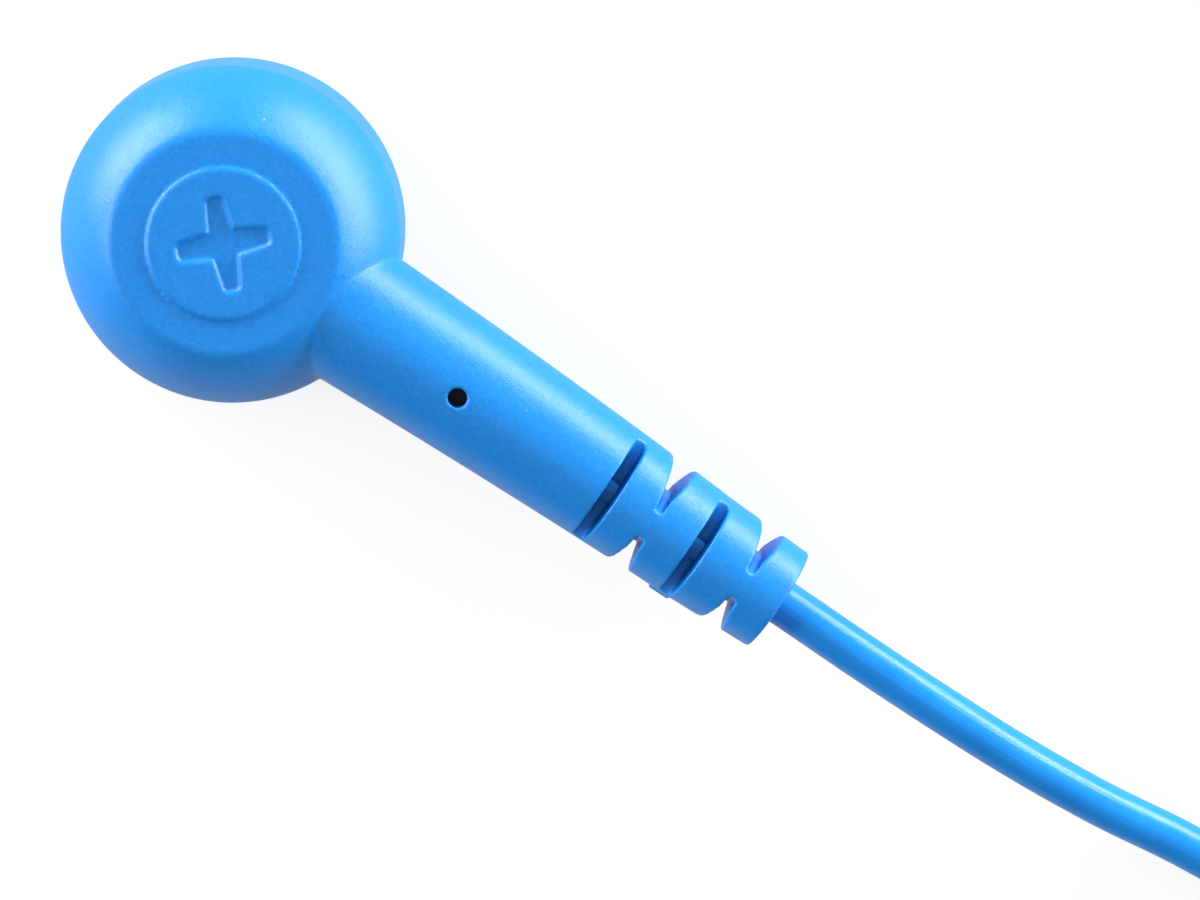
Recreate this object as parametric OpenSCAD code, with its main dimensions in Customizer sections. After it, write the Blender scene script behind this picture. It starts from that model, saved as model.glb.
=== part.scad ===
// Ground cord of an ESD wrist strap: a moulded snap head with a slotted strain relief,
// a curly cord, and a banana plug that carries an alligator clip.
// The mouth of the snap socket is the origin, the cord leaves along +X and Z is up.

/* [Snap head] */
// Diameter of the head at its foot
head_d = 17.5; // [17:0.1:20]
// Height of the flat land on top of the head
head_h = 7.75; // [7.6:0.05:9]
// Diameter of the flat land
land_d = 11.5; // [10.6:0.1:12.5]
// Height of the shoulder, where the side wall turns into the bevel
shoulder_z = 4; // [3:0.1:5]
// How far the side wall leans in from the foot to the shoulder
wall_lean = 0.05; // [0:0.01:0.3]
// How far the bevel bulges out from a straight cone
bevel_bulge = 0.4; // [0.2:0.05:0.8]
// Radius of the rounded foot edge
foot_r = 0.3; // [0.1:0.05:0.5]
// How far the soft shoulder and the soft edge of the land reach to each side
edge_reach = 0.3; // [0.1:0.05:0.5]
// Diameter of the raised disc on the land
disc_d = 7.8; // [6.4:0.1:9]
// Height of the raised disc above the land
disc_rise = 0.15; // [0.1:0.05:0.3]

/* [Cross recess] */
// Length of the cross from tip to tip
cross_span = 4.85; // [3.5:0.05:5.5]
// Width of an arm at the centre of the cross
cross_root_w = 1.35; // [1:0.05:1.8]
// Width of an arm at its tip
cross_tip_w = 0.93; // [0.6:0.01:1.2]
// Radius of the corners of a tip
cross_tip_r = 0.2; // [0.1:0.02:0.28]
// Depth of the cross below the disc
cross_depth = 0.4; // [0.2:0.05:0.8]

/* [Neck and strain relief] */
// Height of the axis that the neck and the resistor share
axis_z = 3.8; // [3.8:0.05:4]
// Diameter of the neck where it leaves the land
neck_root_d = 7.58; // [7.2:0.02:7.6]
// Diameter of the strain relief at its end
relief_end_d = 5.7; // [5:0.1:6.4]
// Distance from the socket to the end of the strain relief
relief_end_x = 33.8; // [33:0.1:40]
// Radius of the end's softened edge
relief_edge_r = 0.15; // [0.1:0.05:0.6]
// Web left between two slots that face each other
relief_web = 2.2; // [1.6:0.1:2.3]
// Place of the first top and bottom slot
slot_x = 23.35; // [22:0.05:23.6]
// Distance between the two top slots
slot_pitch = 5.3; // [4.6:0.05:5.6]
// Width of a top slot at its mouth
slot_mouth_w = 0.82; // [0.5:0.02:1.1]
// Width of a top slot at its floor
slot_floor_w = 0.6; // [0.3:0.02:0.8]
// Place of the first pair of side notches
notch_x = 25.9; // [25.5:0.05:26.2]
// Distance between the two pairs of side notches
notch_pitch = 5.65; // [5.2:0.05:6]
// Width of a side notch at its mouth
notch_mouth_w = 1.25; // [0.6:0.05:1.3]
// Width of a side notch at its floor
notch_floor_w = 0.42; // [0.3:0.02:0.8]
// Place of the hole that the mould's locating pin leaves
pin_hole_x = 14.15; // [11:0.05:18]
// Diameter of the locating pin's hole
pin_hole_d = 1; // [0.6:0.1:1.6]

/* [Snap socket] */
// Diameter of the socket's mouth, which takes a 10 mm stud
mouth_d = 10.3; // [10.2:0.05:10.6]
// Depth of the mouth, below the spring's groove
mouth_h = 0.5; // [0.4:0.05:0.7]
// Inside diameter of the spring's groove
groove_d = 12.2; // [12:0.05:12.4]
// Height of the spring's groove
groove_h = 1; // [0.9:0.05:1.2]
// Inside diameter of the chamber above the groove
chamber_d = 10.9; // [10.8:0.05:11.4]
// Thickness of the socket's sheet metal
socket_sheet = 0.4; // [0.3:0.02:0.44]
// Height of the socket over its closed top
socket_h = 3.2; // [3:0.05:3.22]
// Diameter of the snap spring's wire
snap_wire_d = 0.8; // [0.5:0.05:0.8]
// Diameter inside the relaxed snap spring
snap_bore_d = 9.9; // [9.8:0.02:10]
// Angle left open between the spring's two ends
snap_opening = 30; // [15:5:60]

/* [Contact and resistor] */
// Outside diameter of the eyelet's shank
eyelet_d = 2.4; // [2:0.1:2.8]
// Diameter of the hole through the eyelet
eyelet_bore_d = 1.5; // [1:0.1:1.7]
// Diameter of the eyelet's two flanges
eyelet_flange_d = 3.9; // [3.4:0.1:4.2]
// Thickness of an eyelet flange
eyelet_flange_t = 0.3; // [0.2:0.05:0.4]
// Thickness of the solder tab
tab_t = 0.3; // [0.2:0.02:0.32]
// Diameter of the tab's ring
tab_d = 4.8; // [4.4:0.1:5.4]
// Width of the tab's arm
tab_w = 2.2; // [1.8:0.1:3]
// Distance from the eyelet to the end of the tab's arm
tab_reach = 5.6; // [5.4:0.1:6.4]
// Distance from the eyelet to the solder joint
solder_x = 4.5; // [4.3:0.1:4.6]
// Diameter of the solder joint at its foot
solder_d = 2; // [1.6:0.1:2.1]
// Height of the solder joint on the tab
solder_h = 0.75; // [0.65:0.05:1]
// Diameter of the resistor's end caps
resistor_d = 2.5; // [2.2:0.1:2.8]
// Length of the resistor's body
resistor_len = 6.3; // [5.8:0.1:6.8]
// Place of the resistor's near end
resistor_x = 8; // [7.4:0.1:8.4]
// Diameter of the resistor's leads
lead_d = 0.55; // [0.4:0.05:0.58]
// Length of the far lead beyond the resistor
far_lead = 2.6; // [2.2:0.1:3]
// Length of the crimp sleeve that joins the lead to the conductor
crimp_len = 3.4; // [3:0.1:3.8]
// Wall of the crimp sleeve
crimp_wall = 0.45; // [0.3:0.05:0.6]

/* [Inner mould] */
// Diameter of the inner mould round the socket
core_d = 14.6; // [14.2:0.1:15.2]
// Height of the inner mould's foot, where the outer skin turns in under it
core_foot_z = 0.6; // [0.4:0.05:0.8]
// Height of the inner mould over the socket
core_h = 5; // [4.8:0.1:5.4]
// Diameter of the inner mould along the neck
core_neck_d = 4.6; // [4.2:0.1:5]
// Distance from the socket to the end of the inner mould
core_end_x = 20; // [19.8:0.1:21]

/* [Cord] */
// Diameter of the cord's jacket
cord_d = 2.4; // [2.3:0.05:2.6]
// Diameter of the stranded conductor
conductor_d = 0.68; // [0.5:0.02:0.8]
// Sideways offset of the curly run and the plug from the neck's axis
run_y = 1; // [0:0.1:1.5]
// Outside diameter of the curly cord
coil_d = 14; // [12:0.1:14.6]
// Number of turns in the curly cord
coil_turns = 47; // [20:1:50]
// Distance between neighbouring turns
coil_pitch = 2.55; // [2.5:0.05:3.5]
// Straight length at each end of the curly cord
coil_stub = 3; // [2.4:0.1:6]

/* [Plug] */
// Length of the plug's handle
plug_len = 26; // [24:0.5:34]
// Diameter of the collar at the handle's face
plug_collar_d = 9.2; // [8.8:0.1:10]
// Length of the collar
plug_collar_len = 2.6; // [2:0.1:3.4]
// Diameter of the handle behind the collar
plug_grip_d = 8.2; // [7.4:0.1:8.6]
// Depth of the grip's rings
plug_ring_depth = 0.35; // [0.2:0.05:0.5]
// Number of rings round the grip
plug_rings = 5; // [3:1:6]
// Length of the plug's strain relief
plug_relief_len = 9.4; // [8.8:0.1:10]
// Diameter of the plug's strain relief at the cord
plug_relief_d = 5.2; // [4.6:0.1:5.6]
// Diameter of the plug's strain relief at the grip
plug_relief_root_d = 6.2; // [5.8:0.1:6.6]
// Distance of the plug's first slot from its cord end
plug_slot_x = 2.2; // [1.8:0.1:2.6]
// Distance between neighbouring slots of the plug
plug_slot_pitch = 2.6; // [2.3:0.1:2.8]

/* [Banana pin] */
// Free length of the pin beyond the handle's face
pin_reach = 19; // [17:0.5:21]
// Diameter of the pin's shank inside the handle
pin_shank_d = 3.2; // [2.8:0.1:3.8]
// Diameter of the pin's collar at the handle's face
pin_collar_d = 4.6; // [4.2:0.1:5.4]
// Length of the pin's collar, half a millimetre of which shows
pin_collar_len = 2.5; // [1.5:0.1:3.5]
// How far the pin's collar stands out of the handle
pin_collar_show = 0.5; // [0.3:0.1:0.8]
// Diameter of the pin inside the lantern spring
pin_neck_d = 2.6; // [2.2:0.1:2.7]
// Diameter of the pin's tip
pin_tip_d = 3.5; // [3.2:0.1:3.7]
// Length of the pin's tip
pin_tip_len = 2.6; // [2:0.1:3.4]
// Diameter over the bulge of the lantern spring
lantern_d = 3.94; // [3.8:0.02:4]
// Thickness of the lantern spring's sheet
lantern_sheet = 0.2; // [0.16:0.02:0.24]
// Number of slits in the lantern spring
lantern_slits = 6; // [4:1:8]
// Width of a slit
lantern_slit_w = 0.5; // [0.3:0.05:0.7]
// Length of the closed band at each end of the lantern spring
lantern_band = 1.6; // [1.2:0.1:2.4]

/* [Alligator clip] */
// Length of the clip
clip_len = 43.5; // [42:0.5:46]
// Thickness of the clip's sheet metal
clip_sheet = 0.5; // [0.4:0.02:0.56]
// Length of the barrel that slides over the banana pin
barrel_len = 13; // [12:0.5:14]
// Width of the clip at its hinge
clip_w = 7.6; // [7.4:0.1:8.4]
// Width of the jaws at their nose
nose_w = 4.4; // [3.8:0.1:5]
// Depth of the lower jaw below the plug's axis
jaw_depth = 3.6; // [3.4:0.05:4]
// Height of the upper jaw's roof above the plug's axis
jaw_height = 4.8; // [4.6:0.1:5.2]
// Distance from the end of the barrel to the hinge
hinge_set = 8; // [7.8:0.1:8.6]
// Height of the hinge above the plug's axis
hinge_rise = 1.6; // [1.5:0.05:1.7]
// Diameter of the ears round the hinge
ear_d = 4.6; // [4.4:0.1:5]
// Diameter of the pivot pin
pivot_d = 1.6; // [1.4:0.1:1.8]
// Diameter of the pivot pin's heads
pivot_head_d = 2.8; // [2.4:0.1:3.2]
// Thickness of the pivot pin's heads
pivot_head_t = 0.4; // [0.3:0.05:0.6]
// Height at which the two rows of teeth meet, above the plug's axis
bite_rise = 0.6; // [0.5:0.05:0.8]
// Distance between neighbouring teeth
tooth_pitch = 1.6; // [1.4:0.1:2]
// Height of the teeth
tooth_h = 0.8; // [0.5:0.05:0.9]
// Width of the thumb pad on the lever
pad_w = 8.4; // [7.6:0.1:9]
// Height of the lever's end above the hinge
lever_rise = 8.9; // [8.7:0.1:9.6]
// Distance of the lever's end behind the hinge
lever_reach = 17.5; // [16:0.5:18.5]
// Diameter of the clip spring's wire
clip_wire_d = 0.7; // [0.6:0.02:0.76]
// Distance between the clip spring's turns
clip_spring_pitch = 1.25; // [1.2:0.05:1.3]

/* [Fits] */
// Gap between pieces that are moulded into or pressed onto each other
seat_gap = 0.02; // [0.01:0.01:0.04]
// Radial gap of a piece that turns or slides on another
running_gap = 0.05; // [0.03:0.01:0.08]
// Gap between two pieces of sheet metal that pass each other
pass_gap = 0.1; // [0.06:0.01:0.14]
// Gap between the two rows of teeth when the clip is shut
tooth_gap = 0.15; // [0.1:0.01:0.2]

/* [Hidden] */
$fn = 64;

moulding_colour = [0.13, 0.56, 0.92];
inner_colour = [0.12, 0.16, 0.24];
nickel_colour = [0.78, 0.78, 0.76];
steel_colour = [0.62, 0.63, 0.65];
brass_colour = [0.80, 0.66, 0.36];
copper_colour = [0.76, 0.44, 0.28];
solder_colour = [0.70, 0.71, 0.72];
resistor_colour = [0.80, 0.70, 0.52];

// Past: how far a cut runs beyond the surface that it opens.
past = 1;

// Head and neck
land_r = land_d / 2;
shoulder_r = head_d / 2 - wall_lean;
disc_top_z = head_h + disc_rise;
neck_root_x = land_r - 0.75;

// Snap socket
mouth_r = mouth_d / 2;
groove_r = groove_d / 2;
socket_r = groove_r + socket_sheet;
groove_top_z = mouth_h + groove_h;
socket_step_z = groove_top_z + socket_sheet;
chamber_r = chamber_d / 2;
socket_upper_r = chamber_r + socket_sheet;
snap_ring_r = (snap_bore_d + snap_wire_d) / 2;

// Contact, resistor and splice
shank_r = eyelet_d / 2;
tab_top_z = socket_h + tab_t;
eyelet_foot_z = socket_h - socket_sheet - eyelet_flange_t;
eyelet_top_z = tab_top_z + eyelet_flange_t;
near_lead_x = solder_x - solder_d / 2 - 0.2;
resistor_end_x = resistor_x + resistor_len;
far_lead_end_x = resistor_end_x + far_lead;
crimp_bore_r = max(lead_d, conductor_d) / 2 + seat_gap;
crimp_r = crimp_bore_r + crimp_wall;
crimp_x = far_lead_end_x - crimp_len / 2 + 0.1;
crimp_end_x = crimp_x + crimp_len;
conductor_x = far_lead_end_x + 0.2;

// Cord
cord_r = cord_d / 2;
cord_sides = 8;
// The lead's route from the strain relief to the table, then on to the curly run
lead_route = [
    [relief_end_x, 0, axis_z],
    [39, 0, 4.1],
    [44, 0, 3.9],
    [49, 0, 3],
    [54, 0.2, 1.9],
    [58.5, 0.7, 1.3],
    [62.5, run_y, cord_r],
    [65.5, run_y, cord_r]
];
coil_x = lead_route[len(lead_route) - 1][0];
coil_r = coil_d / 2 - cord_r;
coil_axis_z = coil_d / 2;
coil_sides = 6;
curl_rings = 8;
// The curly cord starts along X on the table and winds up to its full slope in a quarter turn
ramp_angle = 90;
ramp_steps = 8;
coil_turn_len = norm([2 * PI * coil_r, coil_pitch]);
coil_lean = 2 * PI * coil_r / coil_turn_len;
ramp_len = 2 * coil_r * ramp_angle * PI / 180 / coil_lean;
ramp_advance = ramp_x(1);
coil_full_turns = coil_turns - 2 * ramp_angle / 360;
coil_steps = round(coil_full_turns * curl_rings);
coil_end_x = coil_x + 2 * coil_stub + 2 * ramp_advance + coil_full_turns * coil_pitch;

// Plug
plug_x = coil_end_x + 14;
plug_z = plug_collar_d / 2;
// The tail's route rises from the table to the plug's axis
tail_route = [
    [coil_end_x, run_y, cord_r],
    [coil_end_x + 4, run_y, 1.5],
    [coil_end_x + 7, run_y, 2.9],
    [coil_end_x + 10, run_y, 4.3],
    [plug_x, run_y, plug_z]
];
plug_face_x = plug_x + plug_len;
plug_jacket_len = 9;
pin_start_x = plug_x + plug_jacket_len + 3;
pin_collar_end_x = plug_face_x + pin_collar_show;
pin_collar_x = pin_collar_end_x - pin_collar_len;
pin_end_x = plug_face_x + pin_reach;
pin_tip_x = pin_end_x - pin_tip_len;
plug_conductor_end_x = pin_start_x + 2;
lantern_x = pin_collar_end_x + pass_gap;
lantern_end_x = pin_tip_x - pass_gap;
lantern_band_r = pin_neck_d / 2 + running_gap + lantern_sheet;

// Alligator clip
clip_x = plug_face_x + 1;
clip_end_x = clip_x + clip_len;
barrel_bore_r = lantern_d / 2 + 0.08;
barrel_r = barrel_bore_r + clip_sheet;
barrel_end_x = clip_x + barrel_len;
hinge_x = barrel_end_x + hinge_set;
hinge_z = plug_z + hinge_rise;
ear_r = ear_d / 2;
bite_z = plug_z + bite_rise;
clip_half_w = clip_w / 2;
upper_half_w = clip_half_w - clip_sheet - pass_gap;
nose_half_w = nose_w / 2;
jaw_root_x = hinge_x + ear_r + 1;
teeth = floor((clip_end_x - jaw_root_x) / tooth_pitch);
// Two points on the lever's underside, from the hinge
lever_knee = [-3, 2.1];
lever_mid = [-9.8, 5.5];
// Clip spring: where its two legs end, from the hinge, and the slopes that make them leave the turns
clip_wire_r = clip_wire_d / 2;
clip_spring_r = pivot_d / 2 + clip_wire_r + 0.2;
spring_half_w = 1.3 * clip_spring_pitch;
low_leg_end = [
    -9,
    sqrt(pow(barrel_r + clip_wire_r + pass_gap, 2) - pow(spring_half_w, 2)) - hinge_rise
];
low_leg_slope = asin(clip_spring_r / norm(low_leg_end)) - atan2(low_leg_end[1], -low_leg_end[0]);
lever_slope = atan2(lever_mid[1] - lever_knee[1], lever_knee[0] - lever_mid[0]);
high_leg_end = (lever_knee + lever_mid) / 2 - [0, (clip_wire_r + pass_gap) / cos(lever_slope)];
high_leg_slope = asin(clip_spring_r / norm(high_leg_end)) + atan2(high_leg_end[1], -high_leg_end[0]);
clip_spring_sweep = 720 + 180 + low_leg_slope + high_leg_slope;

// Points on an arc round a centre
function arc(centre, r, from, to, steps) = [
    for (i = [0:steps])
        let (a = from + (to - from) * i / steps)
            centre + r * [cos(a), sin(a)]
];

// Points from p to q on an arc that bulges to the left of the straight line by the given amount
function bulge(p, q, amount, steps) =
    let (
        chord = norm(q - p),
        r = (chord * chord / 4 + amount * amount) / (2 * amount),
        out = [p[1] - q[1], q[0] - p[0]] / chord,
        centre = (p + q) / 2 - (r - amount) * out,
        from = atan2(p[1] - centre[1], p[0] - centre[0]),
        to = atan2(q[1] - centre[1], q[0] - centre[0])
    )
    arc(centre, abs(r), from, to, steps);

// Points of a smooth bend that cuts off the corner between a and b, reach away from it on each side
function bend(a, corner, b, reach, steps) = [
    for (i = [0:steps])
        let (u = i / steps)
            corner + reach * ((1 - u) * (1 - u) * unit(a - corner) + u * u * unit(b - corner))
];

// Radius of the neck at a place along it
function neck_r(x) =
    (neck_root_d + (relief_end_d - neck_root_d) * (x - neck_root_x) / (relief_end_x - neck_root_x)) / 2;

// Points of one ring of a tube: e1 and e2 span the ring's plane
function tube_ring(centre, e1, e2, r, sides) = [
    for (k = [0:sides - 1])
        centre + r * (cos(360 * k / sides) * e1 + sin(360 * k / sides) * e2)
];

// Triangles that close a tube of rings, with a fan over each end
function tube_faces(rings, sides) = concat(
    [for (k = [1:sides - 2]) [0, k, k + 1]],
    [for (i = [0:rings - 2], k = [0:sides - 1]) [i * sides + k, (i + 1) * sides + k, i * sides + (k + 1) % sides]],
    [
        for (i = [0:rings - 2], k = [0:sides - 1])
            [i * sides + (k + 1) % sides, (i + 1) * sides + k, (i + 1) * sides + (k + 1) % sides]
    ],
    [for (k = [1:sides - 2]) [(rings - 1) * sides, (rings - 1) * sides + k + 1, (rings - 1) * sides + k]]
);

function unit(v) = v / norm(v);

// Direction of a route at one of its points: square to X at both ends
function route_way(route, i) =
    i == 0 || i == len(route) - 1 ? [1, 0, 0] : unit(route[i + 1] - route[i - 1]);

// Rings of a tube along a route that runs mainly along X
function route_rings(route, r, sides) = [
    for (i = [0:len(route) - 1])
        let (
            way = route_way(route, i),
            across = unit(cross([0, 0, 1], way))
        )
        tube_ring(route[i], across, cross(way, across), r, sides)
];

// Advance along X of the ramp from the straight cord to the full slope, for a share u of its length
function ramp_x(u) =
    ramp_len / 2 * (u * sqrt(1 - pow(coil_lean * u, 2)) + asin(coil_lean * u) * PI / 180 / coil_lean);

// Point of the curly cord at an angle from its lowest point, and the two directions of its ring
function coil_point(x, a) = [x, run_y + coil_r * sin(a), coil_axis_z - coil_r * cos(a)];
function coil_out(a) = [0, sin(a), -cos(a)];
function coil_way(a, lean) = [sqrt(1 - lean * lean), lean * cos(a), lean * sin(a)];
function coil_ring(x, a, lean) =
    tube_ring(coil_point(x, a), coil_out(a), cross(coil_way(a, lean), coil_out(a)), cord_r, coil_sides);

coil_wind_x = coil_x + coil_stub;
coil_full_x = coil_wind_x + ramp_advance;
coil_unwind_x = coil_end_x - coil_stub;
coil_full_end_a = ramp_angle + 360 * coil_full_turns;
coil_rings = concat(
    [coil_ring(coil_x, 0, 0)],
    [
        for (i = [0:ramp_steps - 1])
            let (u = i / ramp_steps)
                coil_ring(coil_wind_x + ramp_x(u), ramp_angle * u * u, coil_lean * u)
    ],
    [
        for (i = [0:coil_steps])
            let (turns = coil_full_turns * i / coil_steps)
                coil_ring(coil_full_x + coil_pitch * turns, ramp_angle + 360 * turns, coil_lean)
    ],
    [
        for (i = [1:ramp_steps])
            let (u = 1 - i / ramp_steps)
                coil_ring(coil_unwind_x - ramp_x(u), coil_full_end_a + ramp_angle * (1 - u * u), coil_lean * u)
    ],
    [coil_ring(coil_end_x, 0, 0)]
);

// Clip spring: a leg over the barrel, the turns round the pivot, and a leg under the lever
function spring_centre(a, y) = [hinge_x + clip_spring_r * cos(a), y, hinge_z + clip_spring_r * sin(a)];
function spring_way(a) = [sin(a), 0, -cos(a)];
spring_from_a = 90 + low_leg_slope;
spring_steps = round(clip_spring_sweep / 360 * curl_rings);
spring_path = concat(
    [[hinge_x + low_leg_end[0], run_y - spring_half_w, hinge_z + low_leg_end[1]]],
    [
        for (i = [0:spring_steps])
            let (share = i / spring_steps)
                spring_centre(spring_from_a - clip_spring_sweep * share, run_y + spring_half_w * (2 * share - 1))
    ],
    [[hinge_x + high_leg_end[0], run_y + spring_half_w, hinge_z + high_leg_end[1]]]
);
spring_rings = [
    for (i = [0:spring_steps + 2])
        let (
            share = min(max(i - 1, 0), spring_steps) / spring_steps,
            a = spring_from_a - clip_spring_sweep * share,
            out = [cos(a), 0, sin(a)]
        )
        tube_ring(spring_path[i], out, cross(spring_way(a), out), clip_wire_r, coil_sides)
];

// Least distance between a tube's points one turn apart
function self_gap(rings) = min([
    for (i = [0:len(rings) - curl_rings - 2], j = [curl_rings - 1:curl_rings + 1], p = rings[i], q = rings[i + j])
        norm(p - q)
]);
echo(curly_cord_gap = self_gap(coil_rings), clip_spring_gap = self_gap([for (i = [1:spring_steps + 1]) spring_rings[i]]));

// A body of revolution along X: its profile gives radius and place
module turned(profile, x, y, z) {
    translate([x, y, z])
        rotate([0, 90, 0])
            rotate_extrude()
                polygon(profile);
}

// A round bar or bore along X
module bar(r, from, to, y, z) {
    translate([from, y, z])
        rotate([0, 90, 0])
            cylinder(r = r, h = to - from);
}

module tube(rings) {
    polyhedron(points = [for (ring = rings, p = ring) p], faces = tube_faces(len(rings), len(rings[0])));
}

// A prism whose outline lies in X and Z, centred on the given Y
module side_prism(outline, y, width) {
    translate([0, y + width / 2, 0])
        rotate([90, 0, 0])
            linear_extrude(height = width)
                polygon(outline);
}

// A tapered cut from outside down to a flat floor, turned about the axis of the relief
module relief_cut(x, y, z, turn, floor_r, floor_w, mouth_r, mouth_w) {
    translate([x, y, z])
        rotate([turn, 0, 0])
            side_prism([
                [-floor_w / 2, floor_r],
                [floor_w / 2, floor_r],
                [mouth_w / 2, mouth_r],
                [mouth_w / 2, mouth_r + past],
                [-mouth_w / 2, mouth_r + past],
                [-mouth_w / 2, mouth_r]
            ], 0, 2 * (mouth_r + past));
}

module relief_cut_pair(x, y, z, turn, floor_w, mouth_r, mouth_w) {
    for (side = [0, 180])
        relief_cut(x, y, z, turn + side, relief_web / 2, floor_w, mouth_r, mouth_w);
}

module head_outside() {
    foot = arc([head_d / 2 - foot_r, foot_r], foot_r, -90, 0, 4);
    bevel = bulge([shoulder_r, shoulder_z], [land_r, head_h], -bevel_bulge, 8);
    rotate_extrude()
        polygon(concat(
            [[0, 0]],
            foot,
            bend(foot[4], bevel[0], bevel[1], edge_reach, 4),
            [for (i = [1:7]) bevel[i]],
            bend(bevel[7], bevel[8], [0, head_h], edge_reach, 4),
            [[0, head_h]]
        ));
    rotate_extrude()
        polygon(concat(
            [[0, head_h - past], [disc_d / 2, head_h - past]],
            arc([disc_d / 2 - disc_rise, head_h], disc_rise, 0, 90, 4),
            [[0, disc_top_z]]
        ));
    turned(concat(
        [[0, 0], [neck_r(neck_root_x), 0]],
        arc([
            neck_r(relief_end_x) - relief_edge_r,
            relief_end_x - neck_root_x - relief_edge_r
        ], relief_edge_r, 0, 90, 4),
        [[0, relief_end_x - neck_root_x]]
    ), neck_root_x, 0, axis_z);
}

// One arm of the cross from the centre out, with rounded corners at its tip
function cross_arm() = concat(
    [[0, -cross_root_w / 2], [cross_root_w / 2, -cross_root_w / 2]],
    arc([cross_span / 2 - cross_tip_r, cross_tip_r - cross_tip_w / 2], cross_tip_r, -80, 0, 3),
    arc([cross_span / 2 - cross_tip_r, cross_tip_w / 2 - cross_tip_r], cross_tip_r, 0, 80, 3),
    [[cross_root_w / 2, cross_root_w / 2], [0, cross_root_w / 2]]
);

module cross_recess() {
    for (turn = [45:90:315])
        translate([0, 0, disc_top_z - cross_depth])
            rotate([0, 0, turn])
                linear_extrude(height = cross_depth + past)
                    polygon(cross_arm());
}

// The inner mould's outside, grown by a gap for the cavity that holds it
module core_outside(gap) {
    translate([0, 0, core_foot_z - gap])
        cylinder(r = core_d / 2 + gap, h = core_h - core_foot_z + 2 * gap);
    bar(core_neck_d / 2 + gap, neck_root_x, core_end_x + gap, 0, axis_z);
}

module head_overmould() {
    color(moulding_colour)
        difference() {
            head_outside();
            core_outside(seat_gap);
            translate([0, 0, -past])
                cylinder(r = socket_r + seat_gap, h = core_foot_z + past);
            bar(cord_r + seat_gap, core_end_x, relief_end_x + past, 0, axis_z);
            for (i = [0:1])
                relief_cut_pair(slot_x + i * slot_pitch, 0, axis_z, 0,
                    slot_floor_w, neck_r(slot_x + i * slot_pitch), slot_mouth_w);
            for (i = [0:1])
                relief_cut_pair(notch_x + i * notch_pitch, 0, axis_z, 90,
                    notch_floor_w, neck_r(notch_x + i * notch_pitch), notch_mouth_w);
            translate([pin_hole_x, 0, axis_z + core_neck_d / 2 - past / 2])
                cylinder(d = pin_hole_d, h = neck_root_d);
            cross_recess();
        }
}

// The resistor with a gap all round, its leads, the splice and the conductor
module wiring_space() {
    bar(lead_d / 2 + seat_gap, near_lead_x - seat_gap, crimp_x, 0, axis_z);
    bar(resistor_d / 2 + seat_gap, resistor_x - seat_gap, resistor_end_x + seat_gap, 0, axis_z);
    bar(crimp_r + seat_gap, crimp_x - seat_gap, crimp_end_x + seat_gap, 0, axis_z);
    bar(conductor_d / 2 + seat_gap, crimp_end_x, core_end_x + past, 0, axis_z);
}

module inner_mould() {
    color(inner_colour)
        difference() {
            core_outside(0);
            cylinder(r = socket_r + seat_gap, h = socket_step_z + seat_gap);
            cylinder(r = socket_upper_r + seat_gap, h = socket_h + seat_gap);
            cylinder(r = tab_d / 2 + seat_gap, h = tab_top_z + seat_gap);
            cylinder(r = eyelet_flange_d / 2 + seat_gap, h = eyelet_top_z + seat_gap);
            translate([0, -tab_w / 2 - seat_gap, socket_h - seat_gap])
                cube([tab_reach + seat_gap, tab_w + 2 * seat_gap, tab_t + 2 * seat_gap]);
            translate([solder_x, 0, socket_h])
                cylinder(r = solder_d / 2 + seat_gap, h = tab_t + solder_h + seat_gap);
            wiring_space();
        }
}

module socket_cup() {
    color(nickel_colour)
        rotate_extrude()
            polygon([
                [mouth_r, 0],
                [socket_r, 0],
                [socket_r, socket_step_z],
                [socket_upper_r, socket_step_z],
                [socket_upper_r, socket_h],
                [shank_r + seat_gap, socket_h],
                [shank_r + seat_gap, socket_h - socket_sheet],
                [chamber_r, socket_h - socket_sheet],
                [chamber_r, groove_top_z],
                [groove_r, groove_top_z],
                [groove_r, mouth_h],
                [mouth_r, mouth_h]
            ]);
}

module snap_spring() {
    color(steel_colour)
        translate([0, 0, mouth_h + groove_h / 2])
            rotate([0, 0, 180 + snap_opening / 2])
                rotate_extrude(angle = 360 - snap_opening)
                    translate([snap_ring_r, 0])
                        circle(d = snap_wire_d);
}

module contact_eyelet() {
    color(brass_colour)
        rotate_extrude()
            polygon([
                [eyelet_bore_d / 2, eyelet_foot_z],
                [eyelet_flange_d / 2, eyelet_foot_z],
                [eyelet_flange_d / 2, eyelet_foot_z + eyelet_flange_t],
                [shank_r, eyelet_foot_z + eyelet_flange_t],
                [shank_r, tab_top_z],
                [eyelet_flange_d / 2, tab_top_z],
                [eyelet_flange_d / 2, eyelet_top_z],
                [eyelet_bore_d / 2, eyelet_top_z]
            ]);
}

module terminal_tab() {
    color(brass_colour)
        translate([0, 0, socket_h])
            difference() {
                union() {
                    cylinder(d = tab_d, h = tab_t);
                    translate([0, -tab_w / 2, 0])
                        cube([tab_reach, tab_w, tab_t]);
                }
                translate([0, 0, -past])
                    cylinder(r = shank_r + seat_gap, h = tab_t + 2 * past);
            }
}

module solder_joint() {
    color(solder_colour)
        difference() {
            translate([solder_x, 0, tab_top_z])
                cylinder(r1 = solder_d / 2, r2 = solder_d / 3, h = solder_h);
            bar(lead_d / 2 + seat_gap, solder_x - solder_d, solder_x + solder_d, 0, axis_z);
        }
}

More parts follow.
